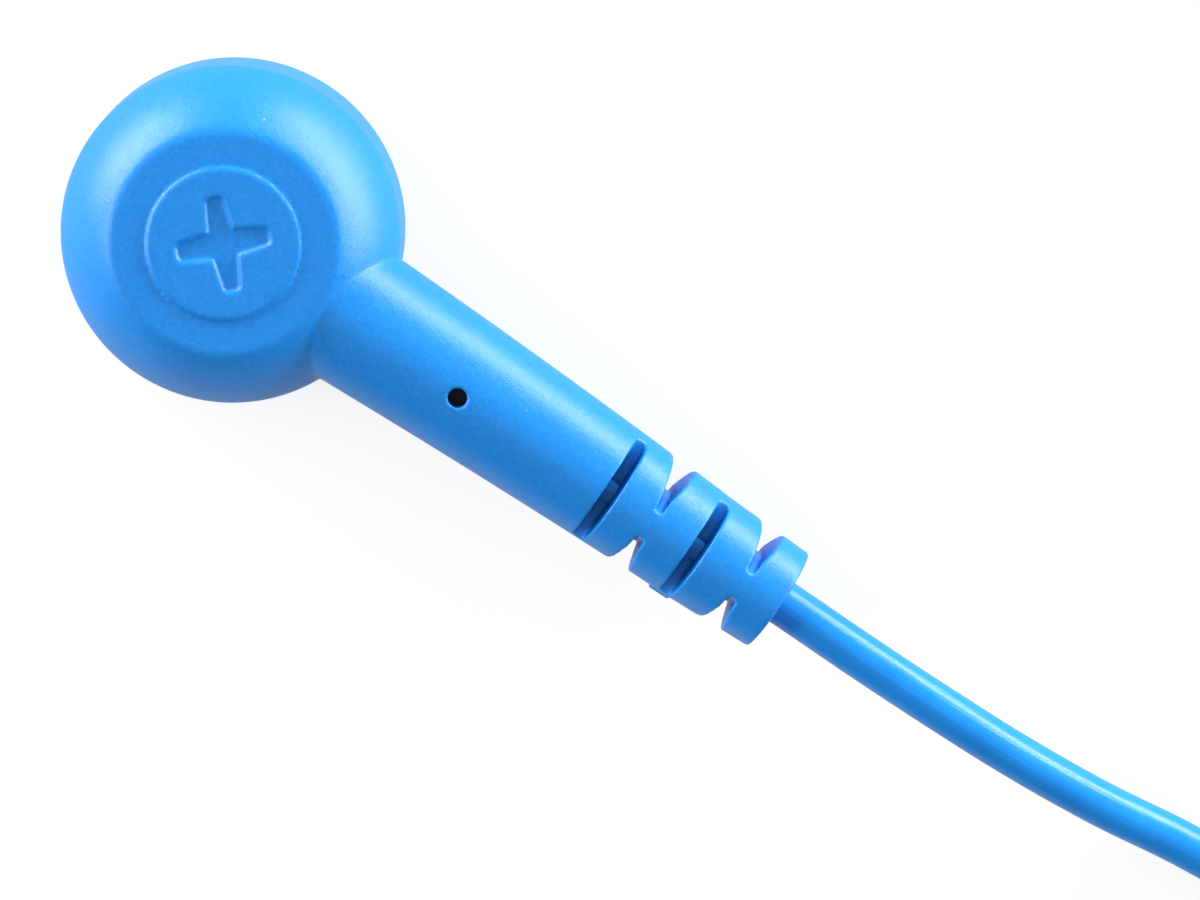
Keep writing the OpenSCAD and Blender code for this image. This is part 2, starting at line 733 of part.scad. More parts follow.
module resistor_body() {
    cap_len = 1.3;
    waist_r = 0.88 * resistor_d / 2;
    corner = 0.3;
    color(resistor_colour)
        turned([
            [0, 0],
            [resistor_d / 2 - corner, 0],
            [resistor_d / 2, corner],
            [resistor_d / 2, cap_len],
            [waist_r, cap_len + corner],
            [waist_r, resistor_len - cap_len - corner],
            [resistor_d / 2, resistor_len - cap_len],
            [resistor_d / 2, resistor_len - corner],
            [resistor_d / 2 - corner, resistor_len],
            [0, resistor_len]
        ], resistor_x, 0, axis_z);
}

module resistor_leads() {
    color(solder_colour) {
        bar(lead_d / 2, near_lead_x, resistor_x, 0, axis_z);
        bar(lead_d / 2, resistor_end_x, far_lead_end_x, 0, axis_z);
    }
}

module splice_crimp() {
    color(nickel_colour)
        difference() {
            bar(crimp_r, crimp_x, crimp_end_x, 0, axis_z);
            bar(crimp_bore_r, crimp_x - past, crimp_end_x + past, 0, axis_z);
        }
}

module cord_conductor() {
    color(copper_colour)
        bar(conductor_d / 2, conductor_x, relief_end_x, 0, axis_z);
}

// A stretch of jacket with the conductor's bore through it
module jacket(from, to, y, z) {
    color(moulding_colour)
        difference() {
            bar(cord_r, from, to, y, z);
            bar(conductor_d / 2 + seat_gap, from - past, to + past, y, z);
        }
}

module cord_in_relief() {
    jacket(core_end_x + 2 * seat_gap, relief_end_x, 0, axis_z);
}

module cord_lead() {
    color(moulding_colour)
        tube(route_rings(lead_route, cord_r, cord_sides));
}

module cord_coil() {
    color(moulding_colour)
        tube(coil_rings);
}

module cord_tail() {
    color(moulding_colour)
        tube(route_rings(tail_route, cord_r, cord_sides));
}

// Outside of the plug: a tapered relief, a ringed grip and a collar at the face
module plug_outside() {
    grip_x = plug_relief_len + 0.8;
    grip_end_x = plug_len - plug_collar_len;
    grip_r = plug_grip_d / 2;
    edge = 0.4;
    ring_pitch = (grip_end_x - grip_x) / (plug_rings + 1);
    turned(concat(
        [
            [0, 0],
            [plug_relief_d / 2 - edge, 0],
            [plug_relief_d / 2, edge],
            [plug_relief_root_d / 2, plug_relief_len],
            [grip_r - edge, grip_x - edge],
            [grip_r, grip_x]
        ],
        [
            for (i = [1:plug_rings], step = [[-0.6, 0], [-0.3, 1], [0.3, 1], [0.6, 0]])
                [grip_r - step[1] * plug_ring_depth, grip_x + i * ring_pitch + step[0]]
        ],
        [
            [grip_r, grip_end_x - edge],
            [plug_collar_d / 2, grip_end_x + edge],
            [plug_collar_d / 2, plug_len - edge],
            [plug_collar_d / 2 - edge, plug_len],
            [0, plug_len]
        ]
    ), plug_x, run_y, plug_z);
}

module plug_overmould() {
    relief_r = plug_relief_root_d / 2;
    color(moulding_colour)
        difference() {
            plug_outside();
            bar(cord_r + seat_gap, plug_x - past, plug_x + plug_jacket_len + seat_gap, run_y, plug_z);
            bar(conductor_d / 2 + seat_gap, plug_x, pin_start_x + past, run_y, plug_z);
            bar(pin_shank_d / 2 + seat_gap, pin_start_x - seat_gap, pin_collar_x + past, run_y, plug_z);
            bar(pin_collar_d / 2 + seat_gap, pin_collar_x - seat_gap, plug_face_x + past, run_y, plug_z);
            for (i = [0:2])
                relief_cut_pair(plug_x + plug_slot_x + i * plug_slot_pitch, run_y, plug_z, 90 * (i % 2),
                    slot_floor_w, relief_r, slot_mouth_w);
        }
}

module plug_cord_end() {
    jacket(plug_x, plug_x + plug_jacket_len, run_y, plug_z);
}

module plug_conductor() {
    color(copper_colour)
        bar(conductor_d / 2, plug_x, plug_conductor_end_x, run_y, plug_z);
}

// The banana pin, with a solder cup at its back end and a round nose
module plug_pin() {
    shank_len = pin_collar_x - pin_start_x;
    collar_end = pin_collar_end_x - pin_start_x;
    tip = pin_tip_x - pin_start_x;
    end = pin_end_x - pin_start_x;
    tip_r = pin_tip_d / 2;
    nose_r = 0.8 * tip_r;
    color(nickel_colour)
        difference() {
            turned(concat(
                [
                    [0, 0],
                    [pin_shank_d / 2, 0],
                    [pin_shank_d / 2, shank_len],
                    [pin_collar_d / 2, shank_len],
                    [pin_collar_d / 2, collar_end],
                    [pin_neck_d / 2, collar_end],
                    [pin_neck_d / 2, tip],
                    [tip_r, tip]
                ],
                arc([tip_r - nose_r, end - nose_r], nose_r, 0, 90, 5),
                [[0, end]]
            ), pin_start_x, run_y, plug_z);
            bar(conductor_d / 2 + seat_gap, pin_start_x - past, plug_conductor_end_x + seat_gap, run_y, plug_z);
        }
}

// The lantern: a slit sleeve that bulges between two closed bands
module plug_spring() {
    len = lantern_end_x - lantern_x;
    bulge_x = len / 2;
    shoulder = 1.6;
    outside = concat(
        [[lantern_band_r, 0], [lantern_band_r, lantern_band]],
        bulge([lantern_band_r, lantern_band], [lantern_band_r, len - lantern_band],
            lantern_band_r - lantern_d / 2, 8),
        [[lantern_band_r, len]]
    );
    color(brass_colour)
        difference() {
            turned(concat(
                outside,
                [for (i = [len(outside) - 1:-1:0]) outside[i] - [lantern_sheet, 0]]
            ), lantern_x, run_y, plug_z);
            for (i = [0:lantern_slits - 1])
                translate([lantern_x + lantern_band, run_y, plug_z])
                    rotate([360 * i / lantern_slits, 0, 0])
                        translate([0, -lantern_slit_w / 2, 0])
                            cube([len - 2 * lantern_band, lantern_slit_w, lantern_d]);
        }
}

// Half-width of the two jaws where they meet, at a place along them
function jaw_half_w(x) =
    clip_half_w + (nose_half_w - clip_half_w) * (x - jaw_root_x) / (clip_end_x - jaw_root_x);

// The line of teeth from the nose back to the root of the jaws
function teeth_line(z) = [
    for (i = [0:teeth - 1], half = [0, 1])
        [clip_end_x - (i + half / 2) * tooth_pitch, z + (half - 0.5) * tooth_h]
];

// A closed outline in plan that is mirrored about the clip's middle
function both_sides(half) = concat(
    [for (p = half) [p[0], run_y - p[1]]],
    [for (i = [len(half) - 1:-1:0]) [half[i][0], run_y + half[i][1]]]
);

// What lies inside both a side outline and a plan outline
module pressed(side, plan) {
    intersection() {
        side_prism(side, run_y, clip_w + pad_w);
        linear_extrude(height = plug_z + 4 * jaw_height)
            polygon(plan);
    }
}

module clip_lower_jaw() {
    channel_x = barrel_end_x - 2;
    wide_x = channel_x + 5.5;
    floor_z = plug_z - jaw_depth;
    nose_z = bite_z - tooth_h / 2 - 1;
    outline = concat(
        [
            [channel_x, plug_z - barrel_r + 0.3],
            [wide_x, floor_z],
            [jaw_root_x + 4, floor_z],
            [clip_end_x - 1.2, nose_z],
            [clip_end_x, nose_z + 0.5]
        ],
        teeth_line(bite_z),
        [[jaw_root_x, bite_z - 0.2]],
        arc([hinge_x, hinge_z], ear_r, -50, 180, 14),
        [[channel_x, plug_z + 0.4]]
    );
    plan = both_sides([[channel_x, barrel_r - 0.3], [wide_x, clip_half_w], [jaw_root_x, clip_half_w],
        [clip_end_x, nose_half_w]]);
    hollow = [
        [channel_x - past, plug_z - barrel_r + 0.3 + clip_sheet],
        [channel_x, plug_z - barrel_r + 0.3 + clip_sheet],
        [wide_x, floor_z + clip_sheet],
        [jaw_root_x + 4, floor_z + clip_sheet],
        [clip_end_x - clip_sheet, nose_z + clip_sheet],
        [clip_end_x - clip_sheet, hinge_z + ear_d],
        [channel_x - past, hinge_z + ear_d]
    ];
    hollow_plan = both_sides([[channel_x - past, barrel_r - 0.3 - clip_sheet],
        [channel_x, barrel_r - 0.3 - clip_sheet], [wide_x, clip_half_w - clip_sheet],
        [jaw_root_x, clip_half_w - clip_sheet], [clip_end_x, nose_half_w - clip_sheet]]);
    color(nickel_colour)
        difference() {
            union() {
                difference() {
                    pressed(outline, plan);
                    pressed(hollow, hollow_plan);
                }
                bar(barrel_r, clip_x, barrel_end_x, run_y, plug_z);
            }
            bar(barrel_bore_r, clip_x - past, barrel_end_x + past, run_y, plug_z);
            pivot_bore(pivot_d / 2 + seat_gap);
        }
}

module pivot_bore(r) {
    translate([hinge_x, run_y, hinge_z])
        rotate([90, 0, 0])
            cylinder(r = r, h = 2 * clip_w, center = true);
}

module clip_upper_jaw() {
    roof_z = plug_z + jaw_height;
    bite_top_z = bite_z + tooth_gap;
    nose_z = bite_top_z + tooth_h / 2 + 1.3;
    ear_back_x = hinge_x - ear_r + 0.2;
    lever_x = hinge_x - lever_reach;
    lever_z = hinge_z + lever_rise;
    knee_x = hinge_x + lever_knee[0];
    knee_z = hinge_z + lever_knee[1];
    mid_x = hinge_x + lever_mid[0];
    mid_z = hinge_z + lever_mid[1];
    step_x = jaw_root_x + 0.3;
    outline = concat(
        [for (p = teeth_line(bite_top_z)) p],
        [[jaw_root_x, bite_top_z]],
        arc([hinge_x, hinge_z], ear_r - 0.2, -35, -180, 8),
        [
            [ear_back_x, hinge_z + 1],
            [knee_x, knee_z],
            [mid_x, mid_z],
            [lever_x, lever_z - clip_sheet],
            [lever_x - 1.2, lever_z + 0.1],
            [lever_x - 0.9, lever_z + 0.5],
            [lever_x, lever_z + 0.1],
            [mid_x + 0.2, mid_z + clip_sheet + 0.05],
            [knee_x + 1, roof_z],
            [jaw_root_x + 4, roof_z],
            [clip_end_x - 1, nose_z],
            [clip_end_x, nose_z - 0.6]
        ]
    );
    plan = both_sides([[lever_x - 1.2, pad_w / 2 - 0.8], [lever_x, pad_w / 2], [lever_x + 3.5, pad_w / 2],
        [mid_x, upper_half_w], [step_x - 1, upper_half_w], [step_x, jaw_half_w(step_x) - 0.02],
        [clip_end_x, nose_half_w]]);
    hollow = [
        [clip_end_x - clip_sheet, bite_z - tooth_h],
        [clip_end_x - clip_sheet, nose_z - clip_sheet],
        [jaw_root_x + 4, roof_z - clip_sheet],
        [knee_x + 1.2, roof_z - clip_sheet],
        [knee_x, knee_z],
        [knee_x - 1, knee_z - 1],
        [knee_x - 1, hinge_z - ear_d],
        [jaw_root_x, hinge_z - ear_d]
    ];
    hollow_plan = both_sides([[mid_x, upper_half_w - clip_sheet], [step_x - 0.5, upper_half_w - clip_sheet],
        [step_x + 0.5, jaw_half_w(step_x) - clip_sheet], [clip_end_x, nose_half_w - clip_sheet]]);
    color(nickel_colour)
        difference() {
            pressed(outline, plan);
            pressed(hollow, hollow_plan);
            pivot_bore(pivot_d / 2 + running_gap);
        }
}

module clip_pivot_pin() {
    color(steel_colour)
        translate([hinge_x, run_y, hinge_z])
            rotate([90, 0, 0]) {
                cylinder(d = pivot_d, h = clip_w + 2 * seat_gap, center = true);
                for (side = [-1, 1])
                    translate([0, 0, side * (clip_half_w + seat_gap + pivot_head_t / 2)])
                        cylinder(d = pivot_head_d, h = pivot_head_t, center = true);
            }
}

module clip_spring() {
    color(steel_colour)
        tube(spring_rings);
}

head_overmould();
inner_mould();
socket_cup();
snap_spring();
contact_eyelet();
terminal_tab();
solder_joint();
resistor_body();
resistor_leads();
splice_crimp();
cord_conductor();
cord_in_relief();
cord_lead();
cord_coil();
cord_tail();
plug_overmould();
plug_cord_end();
plug_conductor();
plug_pin();
plug_spring();
clip_lower_jaw();
clip_upper_jaw();
clip_pivot_pin();
clip_spring();
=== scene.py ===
import math

import bpy
from mathutils import Matrix, Vector


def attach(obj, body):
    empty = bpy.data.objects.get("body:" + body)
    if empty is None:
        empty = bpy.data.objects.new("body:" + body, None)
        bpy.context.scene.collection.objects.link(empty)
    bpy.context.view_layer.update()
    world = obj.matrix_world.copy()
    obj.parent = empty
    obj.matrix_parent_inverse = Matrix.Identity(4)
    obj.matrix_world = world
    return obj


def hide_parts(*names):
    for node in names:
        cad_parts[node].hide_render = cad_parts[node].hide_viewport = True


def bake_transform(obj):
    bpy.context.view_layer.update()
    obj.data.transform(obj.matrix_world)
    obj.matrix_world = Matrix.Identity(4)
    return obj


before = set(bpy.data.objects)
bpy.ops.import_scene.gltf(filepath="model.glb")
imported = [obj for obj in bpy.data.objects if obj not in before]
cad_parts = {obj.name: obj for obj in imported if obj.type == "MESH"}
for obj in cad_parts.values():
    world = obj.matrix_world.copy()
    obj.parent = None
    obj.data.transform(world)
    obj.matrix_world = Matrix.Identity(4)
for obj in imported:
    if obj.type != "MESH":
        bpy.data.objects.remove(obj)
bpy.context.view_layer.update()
scene = bpy.context.scene
scene.view_settings.view_transform = "Standard"

# ---------------------------------------------------------------- camera
# A long lens looks down on the head from above and a little to one side,
# turned so that the neck and the cord run down to the lower right.
EYE = Vector((0.00196, 0.04488, 0.290))
AIM = Vector((0.02184, 0.00137, 0.004))
ROLL = math.radians(34.32)
ahead = (AIM - EYE).normalized()
level = ahead.cross(Vector((0, 1, 0))).normalized()
rise = level.cross(ahead)
right = math.cos(ROLL) * level + math.sin(ROLL) * rise
up = math.cos(ROLL) * rise - math.sin(ROLL) * level

bpy.ops.object.camera_add()
camera = bpy.context.object
camera.data.sensor_width = 36
camera.data.lens = 169.66
camera.data.clip_start = 0.01
camera.data.clip_end = 20
frame_of_view = Matrix((right, up, -ahead)).transposed()
camera.matrix_world = Matrix.Translation(EYE) @ frame_of_view.to_4x4()
scene.camera = camera

# ---------------------------------------------------------------- cord
# One length of round cord, 2.4 mm over its smooth jacket. It leaves the
# strain relief, comes down to the table and is wound into a curly cord of 47
# turns, then rises into the handle of the plug.
MM = 0.001
CORD_D = 2.4
LIE_Z = CORD_D / 2
RELIEF_END, AXIS_Z = 33.8, 3.8
RUN_Y = 1
COIL_R = 5.8
COIL_Z = COIL_R + LIE_Z
PITCH = 2.55
FULL_TURNS = 46.5
STUB = 3.0
TAIL_LEN = 14
PLUG_Z = 4.6
QUARTER = math.pi / 2
POINTS_A_TURN = 40
RAMP_STEPS = 16
ROUTE_STEPS = 8
LEAD = [(RELIEF_END, 0, AXIS_Z), (39, 0, 4.1), (44, 0, 3.9), (49, 0, 3), (54, 0.2, 1.9),
        (58.5, 0.7, 1.3), (62.5, RUN_Y, LIE_Z), (65.5, RUN_Y, LIE_Z)]
turn_len = math.hypot(2 * math.pi * COIL_R, PITCH)
lean = 2 * math.pi * COIL_R / turn_len
ramp_len = 2 * COIL_R * QUARTER / lean


def smooth_run(route, steps):
    """Points along a smooth curve through the route, which leaves both ends along X."""
    knots = [Vector(p) for p in route]
    ways = [(knots[i + 1] - knots[i - 1]) / 2 for i in range(1, len(knots) - 1)]
    first, last = (knots[1] - knots[0]).length, (knots[-1] - knots[-2]).length
    ways = [Vector((first, 0, 0))] + ways + [Vector((last, 0, 0))]
    points = []
    for i in range(len(knots) - 1):
        for k in range(steps):
            u = k / steps
            points.append(
                (2 * u**3 - 3 * u**2 + 1) * knots[i] + (u**3 - 2 * u**2 + u) * ways[i]
                + (3 * u**2 - 2 * u**3) * knots[i + 1] + (u**3 - u**2) * ways[i + 1])
    return points + [knots[-1]]


def ramp_x(u):
    """Advance along X of the ramp from the straight cord to the full slope."""
    s = lean * u
    return ramp_len / 2 * (u * math.sqrt(1 - s * s) + math.asin(s) / lean)


def coil_point(x, a):
    """The cord's place in the curly run, at an angle from the bottom of a turn."""
    return Vector((x, RUN_Y + COIL_R * math.sin(a), COIL_Z - COIL_R * math.cos(a)))


wind_x = LEAD[-1][0] + STUB
full_x = wind_x + ramp_x(1)
full_end = QUARTER + 2 * math.pi * FULL_TURNS
unwind_x = full_x + FULL_TURNS * PITCH + ramp_x(1)
coil_end_x = unwind_x + STUB
coil_steps = round(FULL_TURNS * POINTS_A_TURN)
coil = [coil_point(wind_x + ramp_x(i / RAMP_STEPS), QUARTER * (i / RAMP_STEPS) ** 2)
        for i in range(RAMP_STEPS)]
coil += [coil_point(full_x + FULL_TURNS * PITCH * i / coil_steps,
                    QUARTER + 2 * math.pi * FULL_TURNS * i / coil_steps)
         for i in range(coil_steps + 1)]
coil += [coil_point(unwind_x - ramp_x(1 - i / RAMP_STEPS),
                    full_end + QUARTER * (1 - (1 - i / RAMP_STEPS) ** 2))
         for i in range(1, RAMP_STEPS + 1)]
TAIL = [(coil_end_x + x, RUN_Y, z)
        for x, z in ((0, LIE_Z), (4, 1.5), (7, 2.9), (10, 4.3), (TAIL_LEN, PLUG_Z))]
cord_path = smooth_run(LEAD, ROUTE_STEPS) + coil + smooth_run(TAIL, ROUTE_STEPS)


def only(obj):
    """Leaves one object selected and active."""
    bpy.ops.object.select_all(action="DESELECT")
    obj.select_set(True)
    bpy.context.view_layer.objects.active = obj
    return obj


def strung(name, points, r, facets):
    """Round wire or cord of radius r laid through points, as a closed mesh."""
    line = bpy.data.curves.new(name, "CURVE")
    line.dimensions = "3D"
    line.twist_mode = "MINIMUM"
    line.bevel_depth = r
    line.bevel_resolution = facets
    line.use_fill_caps = True
    strand = line.splines.new("POLY")
    strand.points.add(len(points) - 1)
    for knot, p in zip(strand.points, points):
        knot.co = (*p, 1)
    obj = bpy.data.objects.new(name, line)
    scene.collection.objects.link(obj)
    only(obj)
    bpy.ops.object.convert(target="MESH")
    return bpy.context.object


def settle(piece, material, *nodes, body="cord_set", slot, sharp=35):
    """Brings a finished piece to metres, and gives it its shading, material and body; slot is not
    used.
    """
    piece.data.transform(Matrix.Scale(MM, 4))
    only(piece)
    bpy.ops.object.shade_smooth_by_angle(angle=math.radians(sharp))
    piece.data.materials.clear()
    piece.data.materials.append(material)
    if body:
        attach(piece, body)
    if nodes:
        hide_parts(*nodes)


def new_material(name, colour, roughness):
    """A material, its node tree, its shader in a colour and roughness, and its coordinates."""
    material = bpy.data.materials.new(name)
    material.use_nodes = True
    tree = material.node_tree
    shader = tree.nodes["Principled BSDF"]
    shader.inputs["Base Color"].default_value = (*colour, 1)
    shader.inputs["Roughness"].default_value = roughness
    place = tree.nodes.new("ShaderNodeTexCoord")
    return material, tree, shader, place.outputs["Object"]


def noise(tree, where, size, detail=2.0, rough=0.5):
    """Noise whose grains are about size millimetres across."""
    node = tree.nodes.new("ShaderNodeTexNoise")
    node.inputs["Scale"].default_value = 1 / (MM * size)
    node.inputs["Detail"].default_value = detail
    node.inputs["Roughness"].default_value = rough
    tree.links.new(where, node.inputs["Vector"])
    return node.outputs["Fac"]


def spread(tree, value, low, high, start=0.3, end=0.7):
    """Maps a value's range from start to end on low to high."""
    node = tree.nodes.new("ShaderNodeMapRange")
    for name, x in (("From Min", start), ("From Max", end), ("To Min", low), ("To Max", high)):
        node.inputs[name].default_value = x
    tree.links.new(value, node.inputs["Value"])
    return node.outputs["Result"]


def tint(tree, value, shader, dark, light):
    """Colours the shader between dark and light by a value."""
    node = tree.nodes.new("ShaderNodeMix")
    node.data_type = "RGBA"
    node.inputs["A"].default_value = (*dark, 1)
    node.inputs["B"].default_value = (*light, 1)
    tree.links.new(value, node.inputs["Factor"])
    tree.links.new(node.outputs["Result"], shader.inputs["Base Color"])


def relief(tree, value, shader, height, below=None):
    """Raises the surface by a value, height millimetres at most, over another bump."""
    node = tree.nodes.new("ShaderNodeBump")
    node.inputs["Distance"].default_value = MM * height
    tree.links.new(value, node.inputs["Height"])
    if below:
        tree.links.new(below, node.inputs["Normal"])
    tree.links.new(node.outputs["Normal"], shader.inputs["Normal"])
    return node.outputs["Normal"]


def stretched(tree, where, scale):
    """The same coordinates, drawn out along the axes whose scale is small."""
    node = tree.nodes.new("ShaderNodeMapping")
    node.inputs["Scale"].default_value = scale
    tree.links.new(where, node.inputs["Vector"])
    return node.outputs["Vector"]


cord = strung("cord", cord_path, CORD_D / 2, 6)

# The jacket is glossy, with fine lines from the die along it.
jacket, tree, shader, where = new_material("cord_jacket", (0.006, 0.28, 0.86), 0.24)
tint(tree, spread(tree, noise(tree, where, 3), 0, 1), shader,
     (0.004, 0.265, 0.83), (0.007, 0.295, 0.89))
along = stretched(tree, tree.nodes.new("ShaderNodeUVMap").outputs["UV"], (0.15, 0.03, 1))
lines = relief(tree, noise(tree, along, 1, 3), shader, 0.026)
fine = relief(tree, noise(tree, where, 0.12, 1), shader, 0.004, lines)
relief(tree, noise(tree, where, 0.9, 2), shader, 0.012, fine)
tree.links.new(spread(tree, noise(tree, where, 1.2, 4), 0.27, 0.36), shader.inputs["Roughness"])
settle(cord, jacket, "cord_lead", "cord_coil", "cord_tail", slot="blue_jacket", sharp=60)

# ---------------------------------------------------------------- snap head
# The head, its tapered neck and the slotted strain relief are one moulding in
# soft blue elastomer, shot round the snap socket, the wiring and the cord's
# end. The slots and notches let the relief bend; the mould's pin left a hole.
FOOT_R, FOOT_EDGE = 8.75, 0.3
SHOULDER = Vector((8.70, 4.0))
LAND = Vector((5.75, 7.75))
BULGE, BEVEL_STEPS = 0.4, 20
CORNER = 0.3
DISC_R, DISC_Z, DISC_EDGE = 3.9, 7.9, 0.12
GROOVE_W, GROOVE_DEPTH = 0.12, 0.08
NECK_X, NECK_D, NECK_END_D, NECK_EDGE = 5.0, 7.58, 5.7, 0.1
BOW, BOW_X, BOW_LEN = 0.16, 3, 26


def arc(centre, r, start, end, steps):
    """Points of an arc about a centre, angles in degrees."""
    turns = [math.radians(start + (end - start) * i / steps) for i in range(steps + 1)]
    return [Vector(centre) + r * Vector((math.cos(t), math.sin(t))) for t in turns]


def bend(a, corner, b, reach, steps):
    """Points of a smooth bend that cuts off the corner between a and b."""
    back, on = reach * (a - corner).normalized(), reach * (b - corner).normalized()
    return [corner + (1 - i / steps) ** 2 * back + (i / steps) ** 2 * on
            for i in range(steps + 1)]


def drawn_up(name, sections, sides=0, place=None):
    """A closed piece drawn up through sections of centre x, y, z and two half-widths.

    The sections are round with a number of sides, or square without one.
    """
    x, y, z, wide, deep = sections[0]
    bpy.ops.object.select_all(action="DESELECT")
    if sides:
        bpy.ops.mesh.primitive_circle_add(vertices=sides, radius=1, fill_type="NGON")
    else:
        bpy.ops.mesh.primitive_plane_add(size=2)
    piece = bpy.context.object
    piece.name = name
    bpy.ops.object.mode_set(mode="EDIT")
    bpy.ops.mesh.select_all(action="SELECT")
    bpy.ops.transform.resize(value=(wide, deep, 1), center_override=(0, 0, 0))
    bpy.ops.transform.translate(value=(x, y, z))
    for nx, ny, nz, nwide, ndeep in sections[1:]:
        bpy.ops.mesh.extrude_region_move(
            TRANSFORM_OT_translate={"value": (nx - x, ny - y, nz - z)})
        bpy.ops.transform.resize(
            value=(nwide / wide, ndeep / deep, 1), center_override=(nx, ny, nz))
        x, y, z, wide, deep = nx, ny, nz, nwide, ndeep
    bpy.ops.mesh.select_all(action="SELECT")
    bpy.ops.mesh.normals_make_consistent(inside=False)
    bpy.ops.object.mode_set(mode="OBJECT")
    if place:
        piece.data.transform(place)
    return piece


def turned(name, outline, sides, place=None):
    """A piece turned on a lathe, from its outline of radius and height."""
    return drawn_up(name, [(0, 0, z, r, r) for r, z in outline], sides, place)


def join(pieces):
    """Makes one object of several."""
    only(pieces[0])
    for piece in pieces:
        piece.select_set(True)
    bpy.ops.object.join()
    return pieces[0]


def combine(piece, how, tool):
    """Adds a tool to a piece or cuts it away, and removes the tool."""
    only(piece)
    step = piece.modifiers.new("combine", "BOOLEAN")
    step.operation = how
    step.object = tool
    bpy.ops.object.modifier_apply(modifier=step.name)
    bpy.data.objects.remove(tool)


def skin_over(piece, cell, rounds, most):
    """Gives a piece one closed skin with soft edges, of at most so many triangles."""
    only(piece)
    skin = piece.modifiers.new("skin", "REMESH")
    skin.mode = "VOXEL"
    skin.voxel_size = cell
    soft = piece.modifiers.new("soft", "SMOOTH")
    soft.factor = 0.5
    soft.iterations = rounds
    bpy.ops.object.modifier_apply(modifier=skin.name)
    bpy.ops.object.modifier_apply(modifier=soft.name)
    thin = piece.modifiers.new("thin", "DECIMATE")
    thin.ratio = min(1, most / (2 * len(piece.data.polygons)))
    bpy.ops.object.modifier_apply(modifier=thin.name)


def lengthways(x, y, z):
    """A place at a point, where what was turned upright lies along X."""
    return Matrix.Translation((x, y, z)) @ Matrix.Rotation(math.radians(90), 4, "Y")


def about_x(x, y, z, angle):
    """A place at a point, turned about X."""
    return Matrix.Translation((x, y, z)) @ Matrix.Rotation(math.radians(angle), 4, "X")


def neck_r(x):
    """Radius of the neck, which tapers towards the cord."""
    return (NECK_D + (NECK_END_D - NECK_D) * (x - NECK_X) / (RELIEF_END - NECK_X)) / 2


def bow(x):
    """How far the neck set to one side as it cooled."""
    return BOW * math.sin(math.pi * min(1, max(0, (x - BOW_X) / BOW_LEN))) ** 0.7


chord = LAND - SHOULDER
outward = Vector((chord.y, -chord.x)).normalized()
bevel = [SHOULDER + i / BEVEL_STEPS * chord
         + BULGE * i / (BEVEL_STEPS / 4) * (1 - i / BEVEL_STEPS) * outward
         for i in range(BEVEL_STEPS + 1)]
foot = arc((FOOT_R - FOOT_EDGE, FOOT_EDGE), FOOT_EDGE, -90, 0, 6)
outline = foot + bend(foot[-1], bevel[0], bevel[2], CORNER, 5) + bevel[2:-2]
outline += bend(bevel[-3], bevel[-1], Vector((0, LAND.y)), CORNER, 5)
outline += [Vector((DISC_R + GROOVE_W, LAND.y)), Vector((DISC_R, LAND.y - GROOVE_DEPTH))]
outline += arc((DISC_R - DISC_EDGE, DISC_Z - DISC_EDGE), DISC_EDGE, 5, 90, 5)
head = turned("head_skin", outline, 128)

ALONG_X = lengthways(0, 0, AXIS_Z)
outline = [Vector((neck_r(x), x)) for x in [NECK_X] + list(range(6, 33))]
outline += arc((neck_r(RELIEF_END) - NECK_EDGE, RELIEF_END - NECK_EDGE), NECK_EDGE, 0, 90, 4)
neck = drawn_up("neck", [(0, bow(x), x, r, r) for r, x in outline], 128, ALONG_X)
combine(head, "UNION", neck)

# The relief's cuts: slots above and below, notches at the sides in turn.
# The wall towards the head ends in a round lip, and the web between two
# notches thins towards its top and bottom.
SLOTS = (23.35, 28.65)
SLOT_FLOOR, SLOT_W, SLOT_MOUTH_W, SLOT_LIP = 1.1, 0.6, 0.82, 0.06
NOTCHES = ((25.9, (0.22, 0.4)), (31.55, (0.3, 0.35)))
NOTCH_FLOOR, NOTCH_W, NOTCH_MOUTH_W = 1.35, 0.45, 1.25
LIP_STEPS = 6
WEB_Y, WEB_SLOPE, WEB_CUT_W, WEB_CUT_DEPTH = 1.08, (0.94, 0.342), 0.6, 1.15


def relief_cutter(place, mouth, floor, floor_w, mouth_w, lip):
    """A cutter that widens from floor to mouth, where its near side opens by a round lip."""
    sections = [(0, 0, floor, floor_w / 2, mouth + 1)]
    for i in range(LIP_STEPS + 1):
        a = math.radians(90 / LIP_STEPS * i)
        z = mouth - lip + lip * math.sin(a)
        half = floor_w / 2 + (mouth_w - floor_w) / 2 * (z - floor) / (mouth - floor)
        back = lip * (1 - math.cos(a))
        sections.append((-back / 2, 0, z, half + back / 2, mouth + 1))
    sections.append((-lip / 2, 0, mouth + 1, (mouth_w + lip) / 2, mouth + 1))
    return drawn_up("cutter", sections, 0, place)


cutters, web_cutters = [], []
for x in SLOTS:
    for turn in (0, 180):
        cutters.append(relief_cutter(about_x(x, 0, AXIS_Z, turn), neck_r(x),
                                     SLOT_FLOOR, SLOT_W, SLOT_MOUTH_W, SLOT_LIP))
for x, lips in NOTCHES:
    for turn, lip in zip((-90, 90), lips):
        cutters.append(relief_cutter(about_x(x, 0, AXIS_Z, turn), neck_r(x),
                                     NOTCH_FLOOR, NOTCH_W, NOTCH_MOUTH_W, lip))
    for side in (1, -1):
        for end in (1, -1):
            slope = math.degrees(math.atan2(-side * WEB_SLOPE[0], end * WEB_SLOPE[1]))
            place = about_x(x, side * WEB_Y, AXIS_Z + end * (neck_r(x) - 1), slope)
            web_cutters.append(drawn_up("cutter", [
                (0, 0, 0, NOTCH_W / 2, WEB_CUT_DEPTH), (0, 0, 1, WEB_CUT_W / 2, WEB_CUT_DEPTH)],
                0, place))
combine(head, "DIFFERENCE", join(cutters))
combine(head, "DIFFERENCE", join(web_cutters))

